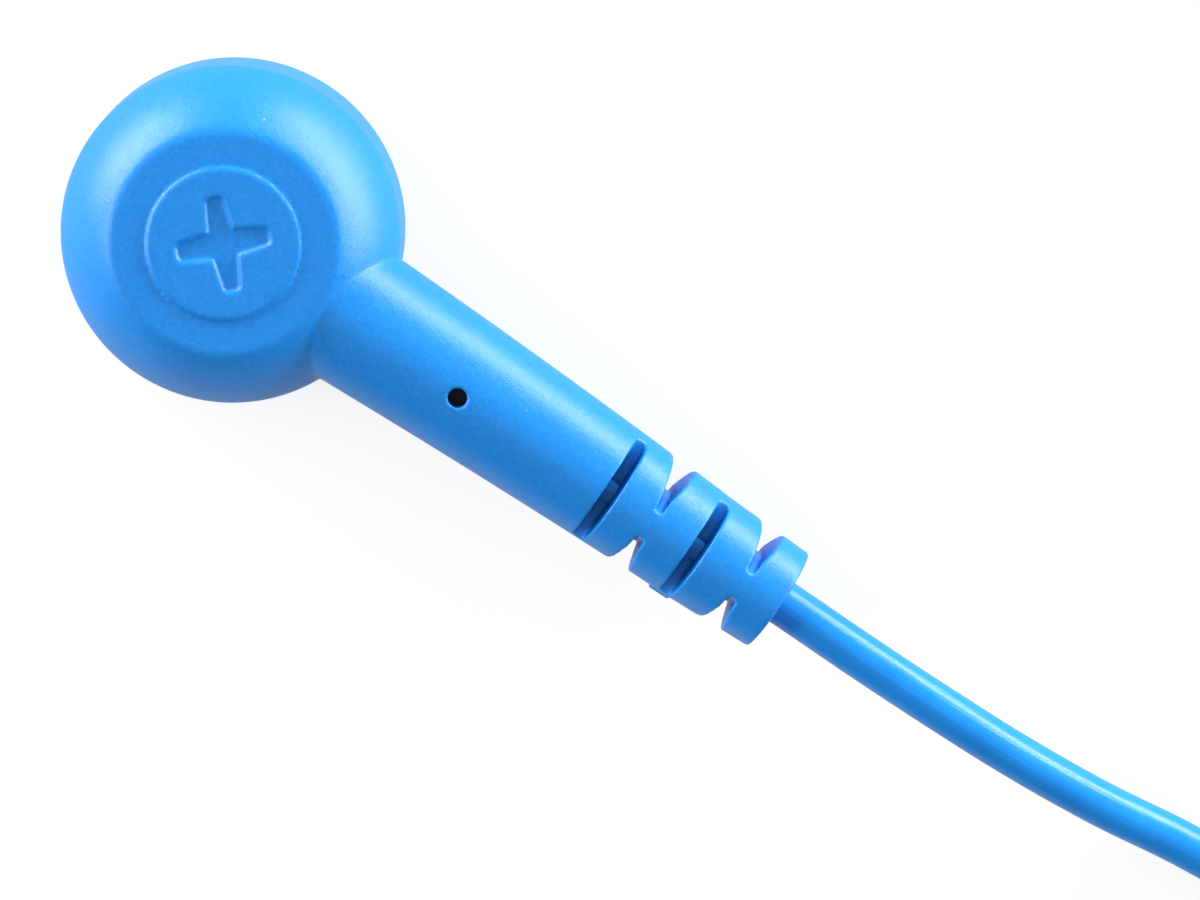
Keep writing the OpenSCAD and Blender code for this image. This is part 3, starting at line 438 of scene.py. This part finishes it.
# The hollow for the core, the socket's and the cord's bores, and the hole that
# the mould's pin left.
HOLLOW_R, HOLLOW_FOOT, HOLLOW_TOP = 7.32, 0.58, 5.02
CORE_BORE_R, CORE_BORE_END = 2.32, 20.02
SOCKET_BORE_R, SOCKET_BORE_TOP = 6.52, 0.6
CORD_BORE_R, CORD_BORE_X = 1.22, 19.8
PIN_HOLE_X, PIN_HOLE = 14.15, [(0.5, 5.9), (0.5, 7.15), (0.56, 7.3), (0.7, 7.4)]
combine(head, "DIFFERENCE",
        turned("cutter", [(HOLLOW_R, HOLLOW_FOOT), (HOLLOW_R, HOLLOW_TOP)], 96))
combine(head, "DIFFERENCE",
        turned("cutter", [(CORE_BORE_R, 4), (CORE_BORE_R, CORE_BORE_END)], 48, ALONG_X))
bores = [turned("cutter", [(SOCKET_BORE_R, -1), (SOCKET_BORE_R, SOCKET_BORE_TOP)], 96),
         turned("cutter", [(CORD_BORE_R, CORD_BORE_X), (CORD_BORE_R, 35)], 48, ALONG_X),
         turned("cutter", PIN_HOLE, 32, Matrix.Translation((PIN_HOLE_X, 0, 0)))]
combine(head, "DIFFERENCE", join(bores))

# The cross in the disc: two arms that taper a little and have round corners.
CROSS_FLOOR = 7.7
HALF_ARM = [(2.425, 0.26), (2.365, 0.4), (2.225, 0.465), (0.675, 0.675)]
for turn in (45, 135):
    arm = [(0, 0, -end, half, 1) for end, half in HALF_ARM]
    arm += [(0, 0, end, half, 1) for end, half in reversed(HALF_ARM)]
    place = (Matrix.Translation((0, 0, CROSS_FLOOR + 1))
             @ Matrix.Rotation(math.radians(turn), 4, "Z")
             @ Matrix.Rotation(math.radians(90), 4, "Y")
             @ Matrix.Rotation(math.radians(90), 4, "Z"))
    combine(head, "DIFFERENCE", drawn_up("cutter", arm, 0, place))

# Flash that was left on the parting line beside the second slot.
flash = drawn_up("flash", [(28.5, -2.95, 3.6, 0.62, 0.25), (28.45, -2.95, 3.9, 0.55, 0.22)])
combine(head, "UNION", flash)
skin_over(head, cell=0.09, rounds=4, most=190000)

# The mould was blasted, so the blue is matt and finely grained.
MATT_BLUE = (0.001, 0.225, 0.74), (0.002, 0.295, 0.89)
# The colour of the painted shade in the slots and bores, and how far into them it reaches.
SHADE_TONE, SHADE_REACH = (0.008, 0.03, 0.05), 1.4
DUST, DUST_APART = (0.55, 0.72, 0.85), 2.6
moulding, tree, shader, where = new_material("soft_moulding", (0.003, 0.265, 0.82), 0.38)
shader.inputs["Specular IOR Level"].default_value = 0.62
tint(tree, spread(tree, noise(tree, where, 0.25, 5, 0.9), 0, 1, 0.36, 0.64), shader,
     *MATT_BLUE)
tree.links.new(spread(tree, noise(tree, where, 0.5, 4), 0.35, 0.42), shader.inputs["Roughness"])
pores = relief(tree, noise(tree, where, 0.07, 1), shader, 0.016)
grain = relief(tree, noise(tree, where, 0.3, 2), shader, 0.008, pores)
relief(tree, noise(tree, where, 2.2, 2), shader, 0.03, grain)
# Slots, bores and the hole are darkened by painted shade where little light reaches,
# and a few specks of dust lie on the surface.
open_to = tree.nodes.new("ShaderNodeAmbientOcclusion")
open_to.samples = 6
open_to.inputs["Distance"].default_value = MM * SHADE_REACH
painted_shade = tree.nodes.new("ShaderNodeMix")
painted_shade.data_type = "RGBA"
painted_shade.inputs["A"].default_value = (*SHADE_TONE, 1)
tree.links.new(spread(tree, open_to.outputs["AO"], 0, 1, 0.06, 0.36), painted_shade.inputs["Factor"])
tree.links.new(shader.inputs["Base Color"].links[0].from_socket, painted_shade.inputs["B"])
cells = tree.nodes.new("ShaderNodeTexVoronoi")
cells.inputs["Scale"].default_value = 1 / (MM * DUST_APART)
tree.links.new(where, cells.inputs["Vector"])
dust = tree.nodes.new("ShaderNodeMix")
dust.data_type = "RGBA"
dust.inputs["B"].default_value = (*DUST, 1)
tree.links.new(spread(tree, cells.outputs["Distance"], 1, 0, 0.014, 0.02), dust.inputs["Factor"])
tree.links.new(painted_shade.outputs["Result"], dust.inputs["A"])
tree.links.new(dust.outputs["Result"], shader.inputs["Base Color"])
settle(head, moulding, "head_overmould", slot="blue_moulding", sharp=80)

# ---------------------------------------------------------------- plug
# The plug's handle is the same soft blue elastomer, moulded over the cord's end
# and the shank of the banana pin: a slotted relief, a grip with five finger
# grooves, and a collar that stops the clip.
PLUG_X = coil_end_x + TAIL_LEN
ON_PLUG = lengthways(PLUG_X, RUN_Y, PLUG_Z)
GRIP_X, GROOVES, GROOVE_PITCH = 10.2, 5, 2.2
GROOVE_SIDE, GROOVE_R = [(4.1, 0.6), (4.02, 0.48), (3.8, 0.3)], 3.75
PLUG_SLOTS, PLUG_SLOT_X, PLUG_SLOT_PITCH = (0, 90, 0), 2.2, 2.6
PLUG_SLOT_MOUTH, PLUG_SLOT_LIP = 3.05, 0.1
WIRE_BORE_R = 0.36
outline = [(2.35, 0), (2.53, 0.07), (2.6, 0.25)]
outline += [(2.6 + 0.5 * i / 6, 0.25 + 9.15 * i / 6) for i in range(1, 7)]
outline += [(3.7, 9.8), (3.95, 9.95), (4.1, GRIP_X)]
for i in range(1, GROOVES + 1):
    at = GRIP_X + GROOVE_PITCH * i
    outline += [(r, at - x) for r, x in GROOVE_SIDE] + [(GROOVE_R, at)]
    outline += [(r, at + x) for r, x in reversed(GROOVE_SIDE)]
outline += [(4.1, 22.9), (4.2, 23.15), (4.5, 23.6), (4.6, 23.85), (4.6, 25.6), (4.5, 25.88),
            (4.3, 26)]
handle = turned("plug_skin", outline, 128, ON_PLUG)
cutters = []
for i, turn in enumerate(PLUG_SLOTS):
    for side in (0, 180):
        x = PLUG_X + PLUG_SLOT_X + PLUG_SLOT_PITCH * i
        cutters.append(relief_cutter(about_x(x, RUN_Y, PLUG_Z, turn + side), PLUG_SLOT_MOUTH,
                                     SLOT_FLOOR, SLOT_W, SLOT_MOUTH_W, PLUG_SLOT_LIP))
combine(handle, "DIFFERENCE", join(cutters))
# One bore holds the cord's end, its conductor, the pin's shank and its collar.
combine(handle, "DIFFERENCE", turned(
    "cutter", [(CORD_BORE_R, -1), (CORD_BORE_R, 9.02), (WIRE_BORE_R, 9.03), (WIRE_BORE_R, 11.97),
               (1.62, 11.98), (1.62, 23.97), (2.32, 23.98), (2.32, 27)], 64, ON_PLUG))
skin_over(handle, cell=0.11, rounds=4, most=120000)
settle(handle, moulding, "plug_overmould", slot="blue_moulding", sharp=80)

# ---------------------------------------------------------------- banana pin
# The pin is turned brass under bright nickel: a shank in the handle with a
# solder cup for the conductor, a collar at the handle's face, a thin neck for
# the lantern spring and a round nose.
PIN_SHANK_X = 12
NOSE_R, NOSE_X = 1.4, 31.6
ON_PIN = lengthways(PLUG_X + PIN_SHANK_X, RUN_Y, PLUG_Z)
outline = [(1.48, 0), (1.57, 0.04), (1.6, 0.12), (1.6, 12), (2.2, 12), (2.28, 12.04),
           (2.3, 12.12), (2.3, 14.32), (2.27, 14.42), (2.18, 14.5), (1.36, 14.5), (1.3, 14.56),
           (1.3, 30.34), (1.36, 30.4), (1.6, 30.4), (1.71, 30.44), (1.75, 30.55)]
outline += [tuple(p) for p in arc((1.75 - NOSE_R, NOSE_X), NOSE_R, 0, 84, 10)]
pin = turned("banana_pin", outline, 96, ON_PIN)
combine(pin, "DIFFERENCE",
        turned("cutter", [(WIRE_BORE_R, -1), (WIRE_BORE_R, 2.02)], 32, ON_PIN))


def metal(name, colour, low, high, drawn, depth):
    """Metal, a little stained, unevenly polished from low to high, lined by its tool, nicked."""
    material, tree, shader, where = new_material(name, colour, low)
    shader.inputs["Metallic"].default_value = 1
    tint(tree, spread(tree, noise(tree, where, 2, 3), 0, 1), shader,
         [c * k for c, k in zip(colour, (0.9, 0.885, 0.85))], colour)
    tree.links.new(spread(tree, noise(tree, where, 2.2, 3), low, high), shader.inputs["Roughness"])
    lines = relief(tree, noise(tree, stretched(tree, where, drawn), 0.07, 2), shader, depth)
    marks = noise(tree, stretched(tree, where, (0.1, 1, 0.6)), 0.12, 0)
    nicks = relief(tree, spread(tree, marks, 1, 0, 0.76, 0.84), shader, depth / 4, lines)
    relief(tree, noise(tree, where, 4, 0), shader, 3 * depth, nicks)
    return material


nickel = metal("turned_nickel", (0.78, 0.78, 0.76), 0.15, 0.21, (1, 0.03, 0.03), 0.0012)
settle(pin, nickel, "plug_pin", slot="nickel")

# The lantern is a sleeve of springy brass sheet, slit six times and bulged
# between two closed bands. It turns on the neck of the pin.
LANTERN_X, LANTERN_LEN = 26.6, 15.7
BAND_R, BAND_W = 1.55, 1.6
LANTERN_BULGE, BULGE_STEPS = 0.42, 14
LANTERN_SHEET = 0.2
SLIT = [(BAND_W, 0.16), (1.7, 0.25), (14, 0.25), (LANTERN_LEN - BAND_W, 0.16)]
ON_LANTERN = lengthways(PLUG_X + LANTERN_X, RUN_Y, PLUG_Z)
bulge_len = LANTERN_LEN - 2 * BAND_W
outside = [(BAND_R, 0), (BAND_R, BAND_W)]
outside += [(BAND_R + LANTERN_BULGE * math.sin(math.pi * i / BULGE_STEPS),
             BAND_W + bulge_len * i / BULGE_STEPS) for i in range(1, BULGE_STEPS)]
outside += [(BAND_R, LANTERN_LEN - BAND_W), (BAND_R, LANTERN_LEN)]
lantern = turned("lantern_spring", outside, 96, ON_LANTERN)
inside = [(r - LANTERN_SHEET, x) for r, x in outside[1:-1]]
inside = [(inside[0][0], -1)] + inside + [(inside[0][0], LANTERN_LEN + 1)]
combine(lantern, "DIFFERENCE", turned("cutter", inside, 96, ON_LANTERN))
for turn in (0, 60, 120):
    slit = [(0, 0, x, 3, half) for x, half in SLIT]
    place = (about_x(PLUG_X + LANTERN_X, RUN_Y, PLUG_Z, turn)
             @ Matrix.Rotation(math.radians(90), 4, "Y"))
    combine(lantern, "DIFFERENCE", drawn_up("cutter", slit, 0, place))
only(lantern)
edge = lantern.modifiers.new("edge", "BEVEL")
edge.width = 0.04
edge.segments = 2
edge.angle_limit = math.radians(40)
bpy.ops.object.modifier_apply(modifier=edge.name)
brass = metal("stamped_brass", (0.80, 0.66, 0.36), 0.2, 0.28, (0.05, 1, 1), 0.0012)
settle(lantern, brass, "plug_spring", body="lantern", slot="brass")

# ---------------------------------------------------------------- alligator clip
# Two jaws pressed from nickel-plated steel sheet mesh tooth for tooth. The lower
# one is rolled into a barrel that grips the banana pin; the upper one ends in a
# thumb pad. A riveted pin holds them, and a torsion spring round it shuts them.
HINGE = Vector((PLUG_X + 48, RUN_Y, 6.2))
SHARP = math.radians(32)
EDGE_R = 0.07

# The jaws' faces are shaded smooth, apart from the edges that are bent sharply.
smooth = bpy.data.node_groups.new("smooth_but_edges", "GeometryNodeTree")
smooth.interface.new_socket("Geometry", in_out="INPUT", socket_type="NodeSocketGeometry")
smooth.interface.new_socket("Geometry", in_out="OUTPUT", socket_type="NodeSocketGeometry")
come = smooth.nodes.new("NodeGroupInput")
leave = smooth.nodes.new("NodeGroupOutput")
faces = smooth.nodes.new("GeometryNodeSetShadeSmooth")
edges = smooth.nodes.new("GeometryNodeSetShadeSmooth")
edges.domain = "EDGE"
edges.inputs["Shade Smooth"].default_value = False
bent = smooth.nodes.new("GeometryNodeInputMeshEdgeAngle")
sharply = smooth.nodes.new("FunctionNodeCompare")
sharply.operation = "GREATER_THAN"
sharply.inputs["B"].default_value = SHARP
smooth.links.new(come.outputs[0], faces.inputs["Geometry"])
smooth.links.new(faces.outputs["Geometry"], edges.inputs["Geometry"])
smooth.links.new(bent.outputs["Unsigned Angle"], sharply.inputs["A"])
smooth.links.new(sharply.outputs["Result"], edges.inputs["Selection"])
smooth.links.new(edges.outputs["Geometry"], leave.inputs[0])
pressed = metal("pressed_nickel", (0.78, 0.78, 0.76), 0.21, 0.27, (0.06, 1, 1), 0.001)
for node in ("clip_lower_jaw", "clip_upper_jaw"):
    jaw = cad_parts[node]
    weld = jaw.modifiers.new("weld", "WELD")
    weld.merge_threshold = 0.000002
    flat = jaw.modifiers.new("flat", "DECIMATE")
    flat.decimate_type = "DISSOLVE"
    flat.angle_limit = math.radians(0.5)
    edge = jaw.modifiers.new("edge", "BEVEL")
    edge.width = MM * EDGE_R
    edge.segments = 2
    edge.limit_method = "ANGLE"
    edge.angle_limit = math.radians(28)
    jaw.modifiers.new("smooth", "NODES").node_group = smooth
    jaw.data.materials.clear()
    jaw.data.materials.append(pressed)

# Four ribs pressed up across the lever's pad keep the thumb from slipping.
RIBS = (-16.1, -14.9, -13.7, -12.5)
RIB_LEN = 4.6
RIB_END = [(0.12, 0), (0.27, 0.06), (0.34, 0.18), (0.36, 0.36)]
LEVER_RISE, LEVER_SLOPE = 2.35, 0.3735
ribs = []
for x in RIBS:
    at = HINGE + Vector((x, -RIB_LEN / 2, LEVER_RISE - LEVER_SLOPE * x))
    outline = RIB_END + [(r, RIB_LEN - y) for r, y in reversed(RIB_END)]
    ribs.append(turned("rib", outline, 24, about_x(*at, -90)))
ribs = join(ribs)
ribs.name = "lever_ribs"
settle(ribs, pressed, body="upper_jaw", slot="nickel", sharp=60)

# The pivot is a steel rivet with two domed heads.
RIVET_END, RIVET_HEAD, RIVET_R = 4.22, 0.4, 0.8
dome = [(0.3, 0), (0.75, 0.04), (1.1, 0.12), (1.32, 0.24), (1.4, 0.36), (1.38, RIVET_HEAD)]
outline = [(r, t - RIVET_END) for r, t in dome]
outline += [(RIVET_R, RIVET_HEAD - RIVET_END), (RIVET_R, RIVET_END - RIVET_HEAD)]
outline += [(r, RIVET_END - t) for r, t in reversed(dome)]
rivet = turned("pivot_rivet", outline, 48, about_x(*HINGE, 90))
steel = metal("spring_wire", (0.62, 0.63, 0.65), 0.24, 0.32, (1, 0.2, 1), 0.002)
settle(rivet, steel, "clip_pivot_pin", body="clip", slot="spring_steel")

# The torsion spring: a leg on the barrel, two and a half turns and a leg
# under the lever.
SPRING_R, SPRING_HALF_W, WIRE_R = 1.35, 1.625, 0.35
SPRING_START, SWEEP, SPRING_STEPS = 92.73, 940.8, 80
LOW_LEG, HIGH_LEG = (-9, 0.922), (-6.4, 3.297)
wind = [HINGE + Vector((LOW_LEG[0], -SPRING_HALF_W, LOW_LEG[1]))]
for i in range(SPRING_STEPS + 1):
    a = math.radians(SPRING_START - SWEEP * i / SPRING_STEPS)
    wind.append(HINGE + Vector((SPRING_R * math.cos(a),
                                SPRING_HALF_W * (i / (SPRING_STEPS / 2) - 1),
                                SPRING_R * math.sin(a))))
wind.append(HINGE + Vector((HIGH_LEG[0], SPRING_HALF_W, HIGH_LEG[1])))
spring = strung("torsion_spring", wind, WIRE_R, 4)
settle(spring, steel, "clip_spring", body=None, slot="spring_steel", sharp=60)
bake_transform(spring)

# ---------------------------------------------------------------- snap socket
# The socket is a cup drawn from brass sheet and nickel-plated, with a rolled lip
# and a groove that holds the snap ring, an open ring of spring wire. It takes
# the stud of a wristband.
CUP_OUTSIDE = [(6.3, 0), (6.44, 0.05), (6.5, 0.2), (6.5, 1.72), (6.44, 1.85), (6.3, 1.9),
               (5.98, 1.9), (5.89, 1.94), (5.85, 2.05), (5.85, 2.98), (5.79, 3.14), (5.62, 3.2)]
CUP_INSIDE = [(5.4, -0.5), (5.34, 0), (5.2, 0.06), (5.15, 0.18), (5.15, 0.34), (5.2, 0.45),
              (5.32, 0.5), (5.98, 0.5), (6.07, 0.53), (6.1, 0.62), (6.1, 1.38), (6.07, 1.47),
              (5.98, 1.5), (5.56, 1.5), (5.48, 1.53), (5.45, 1.62), (5.45, 2.62), (5.4, 2.75),
              (5.26, 2.8), (1.22, 2.8), (1.22, 4)]
RING_R, RING_Z, RING_WIRE_R = 5.35, 1, 0.4
RING_START, RING_SWEEP, RING_STEPS = 195, 330, 72
cup = turned("snap_cup", CUP_OUTSIDE, 128)
combine(cup, "DIFFERENCE", turned("cutter", CUP_INSIDE, 128))
settle(cup, pressed, "socket_cup", slot="nickel")
ring = [Vector((RING_R * math.cos(a), RING_R * math.sin(a), RING_Z))
        for a in (math.radians(RING_START + RING_SWEEP * i / RING_STEPS)
                  for i in range(RING_STEPS + 1))]
snap_ring = strung("snap_ring", ring, RING_WIRE_R, 5)
settle(snap_ring, steel, "snap_spring", slot="spring_steel", sharp=60)

# ---------------------------------------------------------------- contact
# A hollow brass rivet clamps the terminal to the cup. Its flanges are rolled
# over, and the terminal's tongue carries the resistor's lead in solder.
LEAD_BORE_R = 0.295
outline = [(1.7, 2.5), (1.86, 2.53), (1.95, 2.62), (1.95, 2.7), (1.88, 2.8), (1.2, 2.8),
           (1.2, 3.5), (1.88, 3.5), (1.95, 3.6), (1.93, 3.7), (1.8, 3.8)]
eyelet = turned("contact_rivet", outline, 64)
combine(eyelet, "DIFFERENCE", turned(
    "cutter", [(1.05, 2.2), (0.95, 2.5), (0.8, 2.62), (0.75, 2.8), (0.75, 3.5), (0.8, 3.66),
               (0.95, 3.8), (1, 4.2)], 64))
settle(eyelet, brass, "contact_eyelet", slot="brass")

tab = turned("terminal", [(2.35, 3.2), (2.4, 3.24), (2.4, 3.46), (2.35, 3.5)], 64)
tongue = drawn_up("tongue", [(2.8, 0, 3.2, 2.78, 1.08), (2.8, 0, 3.23, 2.8, 1.1),
                             (2.8, 0, 3.47, 2.8, 1.1), (2.8, 0, 3.5, 2.78, 1.08)])
combine(tab, "UNION", tongue)
combine(tab, "DIFFERENCE", turned("cutter", [(1.22, 3), (1.22, 4)], 64))
settle(tab, brass, "terminal_tab", slot="brass")

solder = metal("solder", (0.70, 0.71, 0.72), 0.2, 0.4, (1, 1, 1), 0.003)
outline = [(1, 3.5), (0.97, 3.56), (0.86, 3.7), (0.78, 3.9), (0.74, 4.08), (0.68, 4.18),
           (0.5, 4.25)]
bead = turned("solder_bead", outline, 48, Matrix.Translation((4.5, 0, 0)))
combine(bead, "DIFFERENCE", turned("cutter", [(LEAD_BORE_R, 2), (LEAD_BORE_R, 7)], 32, ALONG_X))
settle(bead, solder, "solder_joint", slot="solder", sharp=50)

# ---------------------------------------------------------------- resistor
# One megohm in series keeps the wearer safe: a lacquered ceramic rod with
# pressed end caps, colour bands and tinned copper leads. Its far lead and the
# cord's strands meet in a crimped sleeve.
ROD_X, ROD_LEN = 8, 6.3
ROD_END = [(0.9, 0), (1.12, 0.06), (1.22, 0.2), (1.25, 0.4), (1.25, 1.15), (1.21, 1.32),
           (1.13, 1.48), (1.1, 1.65)]
BEIGE, BROWN, BLACK = (0.80, 0.70, 0.52), (0.16, 0.06, 0.02), (0.02, 0.02, 0.02)
GREEN, GOLD = (0.02, 0.24, 0.08), (0.56, 0.38, 0.12)
BANDS = ((0, BEIGE), (0.17, BROWN), (0.27, BEIGE), (0.36, BLACK), (0.46, BEIGE), (0.54, GREEN),
         (0.64, BEIGE), (0.78, GOLD), (0.88, BEIGE))
outline = ROD_END + [(r, ROD_LEN - x) for r, x in reversed(ROD_END)]
rod = turned("resistor_rod", outline, 64, lengthways(ROD_X, 0, AXIS_Z))
lacquer, tree, shader, where = new_material("resistor_lacquer", BEIGE, 0.3)
axes = tree.nodes.new("ShaderNodeSeparateXYZ")
tree.links.new(where, axes.inputs[0])
bands = tree.nodes.new("ShaderNodeValToRGB")
bands.color_ramp.interpolation = "CONSTANT"
for i, (at, colour) in enumerate(BANDS):
    stop = bands.color_ramp.elements[0] if i == 0 else bands.color_ramp.elements.new(at)
    stop.position = at
    stop.color = (*colour, 1)
bands.color_ramp.elements.remove(bands.color_ramp.elements[-1])
tree.links.new(spread(tree, axes.outputs["X"], 0, 1, MM * ROD_X, MM * (ROD_X + ROD_LEN)),
               bands.inputs["Fac"])
tree.links.new(bands.outputs["Color"], shader.inputs["Base Color"])
tree.links.new(spread(tree, noise(tree, where, 0.6, 3), 0.25, 0.38), shader.inputs["Roughness"])
relief(tree, noise(tree, where, 0.8, 3), shader, 0.02)
settle(rod, lacquer, "resistor_body", slot="resistor")

LEAD_R, LEAD_EDGE = 0.275, 0.04
leads = join([turned("lead", [(0.24, a), (LEAD_R, a + LEAD_EDGE), (LEAD_R, b - LEAD_EDGE),
                              (0.24, b)], 24, ALONG_X)
              for a, b in ((3.3, 8), (14.3, 16.9))])
settle(leads, solder, "resistor_leads", slot="solder")
outline = [(0.75, 15.3), (0.81, 15.36), (0.81, 16), (0.7, 16.35), (0.7, 17.05), (0.81, 17.4),
           (0.81, 18.64), (0.75, 18.7)]
sleeve = turned("crimp_sleeve", outline, 48, ALONG_X)
combine(sleeve, "DIFFERENCE",
        turned("cutter", [(WIRE_BORE_R, 15), (WIRE_BORE_R, 19)], 32, ALONG_X))
settle(sleeve, nickel, "splice_crimp", slot="nickel")

# ---------------------------------------------------------------- wiring
# The conductor is seven tinned strands of copper, twisted. It runs in the jacket
# from the crimp, and again in the handle into the pin's solder cup. The hard
# core holds the wiring in the head.
STRAND_R, LAY_LEN, POINTS_A_MM = 0.113, 5, 4
JACKET_X, PLUG_JACKET_LEN, JACKET_EDGE = 20.04, 9, 0.05
JACKET_R = CORD_D / 2


def twisted(name, start, end, y, z):
    """Seven strands of copper, six laid round one."""
    pieces = [strung("strand", [(start, y, z), (end, y, z)], STRAND_R, 2)]
    steps = int((end - start) * POINTS_A_MM)
    for k in range(6):
        lay = []
        for i in range(steps + 1):
            x = start + (end - start) * i / steps
            a = math.radians(60 * k) + 2 * math.pi * (x - start) / LAY_LEN
            lay.append((x, y + 2 * STRAND_R * math.cos(a), z + 2 * STRAND_R * math.sin(a)))
        pieces.append(strung("strand", lay, STRAND_R, 2))
    wire = join(pieces)
    wire.name = name
    return wire


copper = metal("copper_strands", (0.76, 0.44, 0.28), 0.2, 0.36, (0.05, 1, 1), 0.002)
head_wire = twisted("conductor", 17.1, RELIEF_END, 0, AXIS_Z)
settle(head_wire, copper, "cord_conductor", slot="copper", sharp=80)
plug_wire = twisted("plug_conductor_wire", PLUG_X, PLUG_X + 14, RUN_Y, PLUG_Z)
settle(plug_wire, copper, "plug_conductor", slot="copper", sharp=80)
outline = [(1.15, JACKET_X), (JACKET_R, 20.09), (JACKET_R, RELIEF_END)]
inner_jacket = turned("jacket_in_relief", outline, 48, ALONG_X)
combine(inner_jacket, "DIFFERENCE",
        turned("cutter", [(WIRE_BORE_R, 19), (WIRE_BORE_R, 35)], 32, ALONG_X))
settle(inner_jacket, jacket, "cord_in_relief", slot="blue_jacket")
outline = [(JACKET_R, 0), (JACKET_R, PLUG_JACKET_LEN - JACKET_EDGE), (1.15, PLUG_JACKET_LEN)]
plug_jacket = turned("jacket_in_plug", outline, 48, ON_PLUG)
combine(plug_jacket, "DIFFERENCE",
        turned("cutter", [(WIRE_BORE_R, -1), (WIRE_BORE_R, 10)], 32, ON_PLUG))
settle(plug_jacket, jacket, "plug_cord_end", slot="blue_jacket")

core_mix, tree, shader, where = new_material("hard_core", (0.03, 0.04, 0.06), 0.5)
tint(tree, spread(tree, noise(tree, where, 1.5, 3), 0, 1), shader,
     (0.025, 0.034, 0.052), (0.036, 0.047, 0.068))
tree.links.new(spread(tree, noise(tree, where, 0.7, 3), 0.42, 0.58), shader.inputs["Roughness"])
relief(tree, noise(tree, where, 0.2, 2), shader, 0.012)
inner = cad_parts["inner_mould"]
inner.data.materials.clear()
inner.data.materials.append(core_mix)

# ---------------------------------------------------------------- studio
# A white table in a tent that is white behind, dark overhead and dark on the
# near side. A long low soft box stands at the right, another at the left, and a
# small lamp over the left shoulder.
TABLE_SIZE, TABLE_Z = 12, -0.00005
TABLE_GREY, TABLE_GLOW, TABLE_MIRRORED = 0.3, 0.78, 0.6
BEHIND = (-0.56, 0.829, 0)
DAYLIGHT, MIRRORED, SEEN = (0.15, 0.85, 1), (1, 0.08, 0.5), (1, 1, 1)
SUBJECT, LAMP_DISTANCE = Vector((0.01, 0, 0.004)), 0.8
bpy.ops.mesh.primitive_grid_add(x_subdivisions=4, y_subdivisions=4, size=TABLE_SIZE,
                                location=(0, 0, TABLE_Z))
table = bpy.context.object
table.name = "table"


def seen_rays(tree, mirrored):
    """One where a surface is seen, less where it is mirrored, nothing where it only gives light."""
    path = tree.nodes.new("ShaderNodeLightPath")
    value = path.outputs["Is Camera Ray"]
    for name in ("Is Glossy Ray", "Is Transmission Ray"):
        most = tree.nodes.new("ShaderNodeMath")
        most.operation = "MAXIMUM"
        tree.links.new(value, most.inputs[0])
        tree.links.new(spread(tree, path.outputs[name], 0, mirrored, 0, 1), most.inputs[1])
        value = most.outputs[0]
    return value


white = bpy.data.materials.new("white_table")
white.use_nodes = True
tree = white.node_tree
tree.nodes.clear()
matt = tree.nodes.new("ShaderNodeBsdfDiffuse")
matt.inputs["Color"].default_value = (TABLE_GREY, TABLE_GREY, TABLE_GREY, 1)
glow = tree.nodes.new("ShaderNodeEmission")
tree.links.new(spread(tree, seen_rays(tree, TABLE_MIRRORED), 0, TABLE_GLOW, 0, 1),
               glow.inputs["Strength"])
both = tree.nodes.new("ShaderNodeAddShader")
out = tree.nodes.new("ShaderNodeOutputMaterial")
tree.links.new(matt.outputs[0], both.inputs[0])
tree.links.new(glow.outputs[0], both.inputs[1])
tree.links.new(both.outputs[0], out.inputs["Surface"])
table.data.materials.append(white)

# The tent has three layers: the light that it gives, what shines in a surface,
# and what is seen behind the object. Each goes from one strength at the horizon
# to another at a height.
world = bpy.data.worlds.new("tent")
scene.world = world
world.use_nodes = True
tree = world.node_tree
tree.nodes.clear()
way = tree.nodes.new("ShaderNodeTexCoord")
axes = tree.nodes.new("ShaderNodeSeparateXYZ")
tree.links.new(way.outputs["Object"], axes.inputs[0])
path = tree.nodes.new("ShaderNodeLightPath")
out = tree.nodes.new("ShaderNodeOutputWorld")
away = tree.nodes.new("ShaderNodeVectorMath")
away.operation = "DOT_PRODUCT"
away.inputs[1].default_value = BEHIND
tree.links.new(way.outputs["Object"], away.inputs[0])
layers = []
for low, high, top in (DAYLIGHT, MIRRORED, SEEN):
    layer = tree.nodes.new("ShaderNodeBackground")
    tree.links.new(spread(tree, axes.outputs["Z"], low, high, 0, top), layer.inputs["Strength"])
    layers.append(layer.outputs[0])
horizon = layers[1].node.inputs["Strength"].links[0].from_node.inputs["To Min"]
tree.links.new(spread(tree, away.outputs["Value"], 0.1, 1, -0.5, 0.4), horizon)
mirrored = tree.nodes.new("ShaderNodeMath")
mirrored.operation = "MAXIMUM"
tree.links.new(path.outputs["Is Glossy Ray"], mirrored.inputs[0])
tree.links.new(path.outputs["Is Transmission Ray"], mirrored.inputs[1])
shown = layers[0]
for value, layer in ((mirrored.outputs[0], layers[1]), (path.outputs["Is Camera Ray"], layers[2])):
    choice = tree.nodes.new("ShaderNodeMixShader")
    tree.links.new(value, choice.inputs["Fac"])
    tree.links.new(shown, choice.inputs[1])
    tree.links.new(layer, choice.inputs[2])
    shown = choice.outputs[0]
tree.links.new(shown, out.inputs["Surface"])


def box_light(name, across, height, wide, high, power):
    """A soft box aimed at the head, across being its direction on the table from X, in degrees."""
    a, h = math.radians(across), math.radians(height)
    way = Vector((math.cos(a) * math.cos(h), math.sin(a) * math.cos(h), math.sin(h)))
    lamp = bpy.data.lights.new(name, "AREA")
    lamp.shape = "RECTANGLE"
    lamp.size = wide
    lamp.size_y = high
    lamp.energy = power
    obj = bpy.data.objects.new(name, lamp)
    obj.location = SUBJECT + LAMP_DISTANCE * way
    obj.rotation_euler = way.to_track_quat("Z", "Y").to_euler()
    scene.collection.objects.link(obj)


box_light("box_right", across=64, height=8, wide=1.3, high=0.24, power=15)
box_light("box_left", across=176, height=9, wide=0.7, high=0.24, power=8)
box_light("lamp_shoulder", across=216, height=30, wide=0.25, high=0.25, power=2)
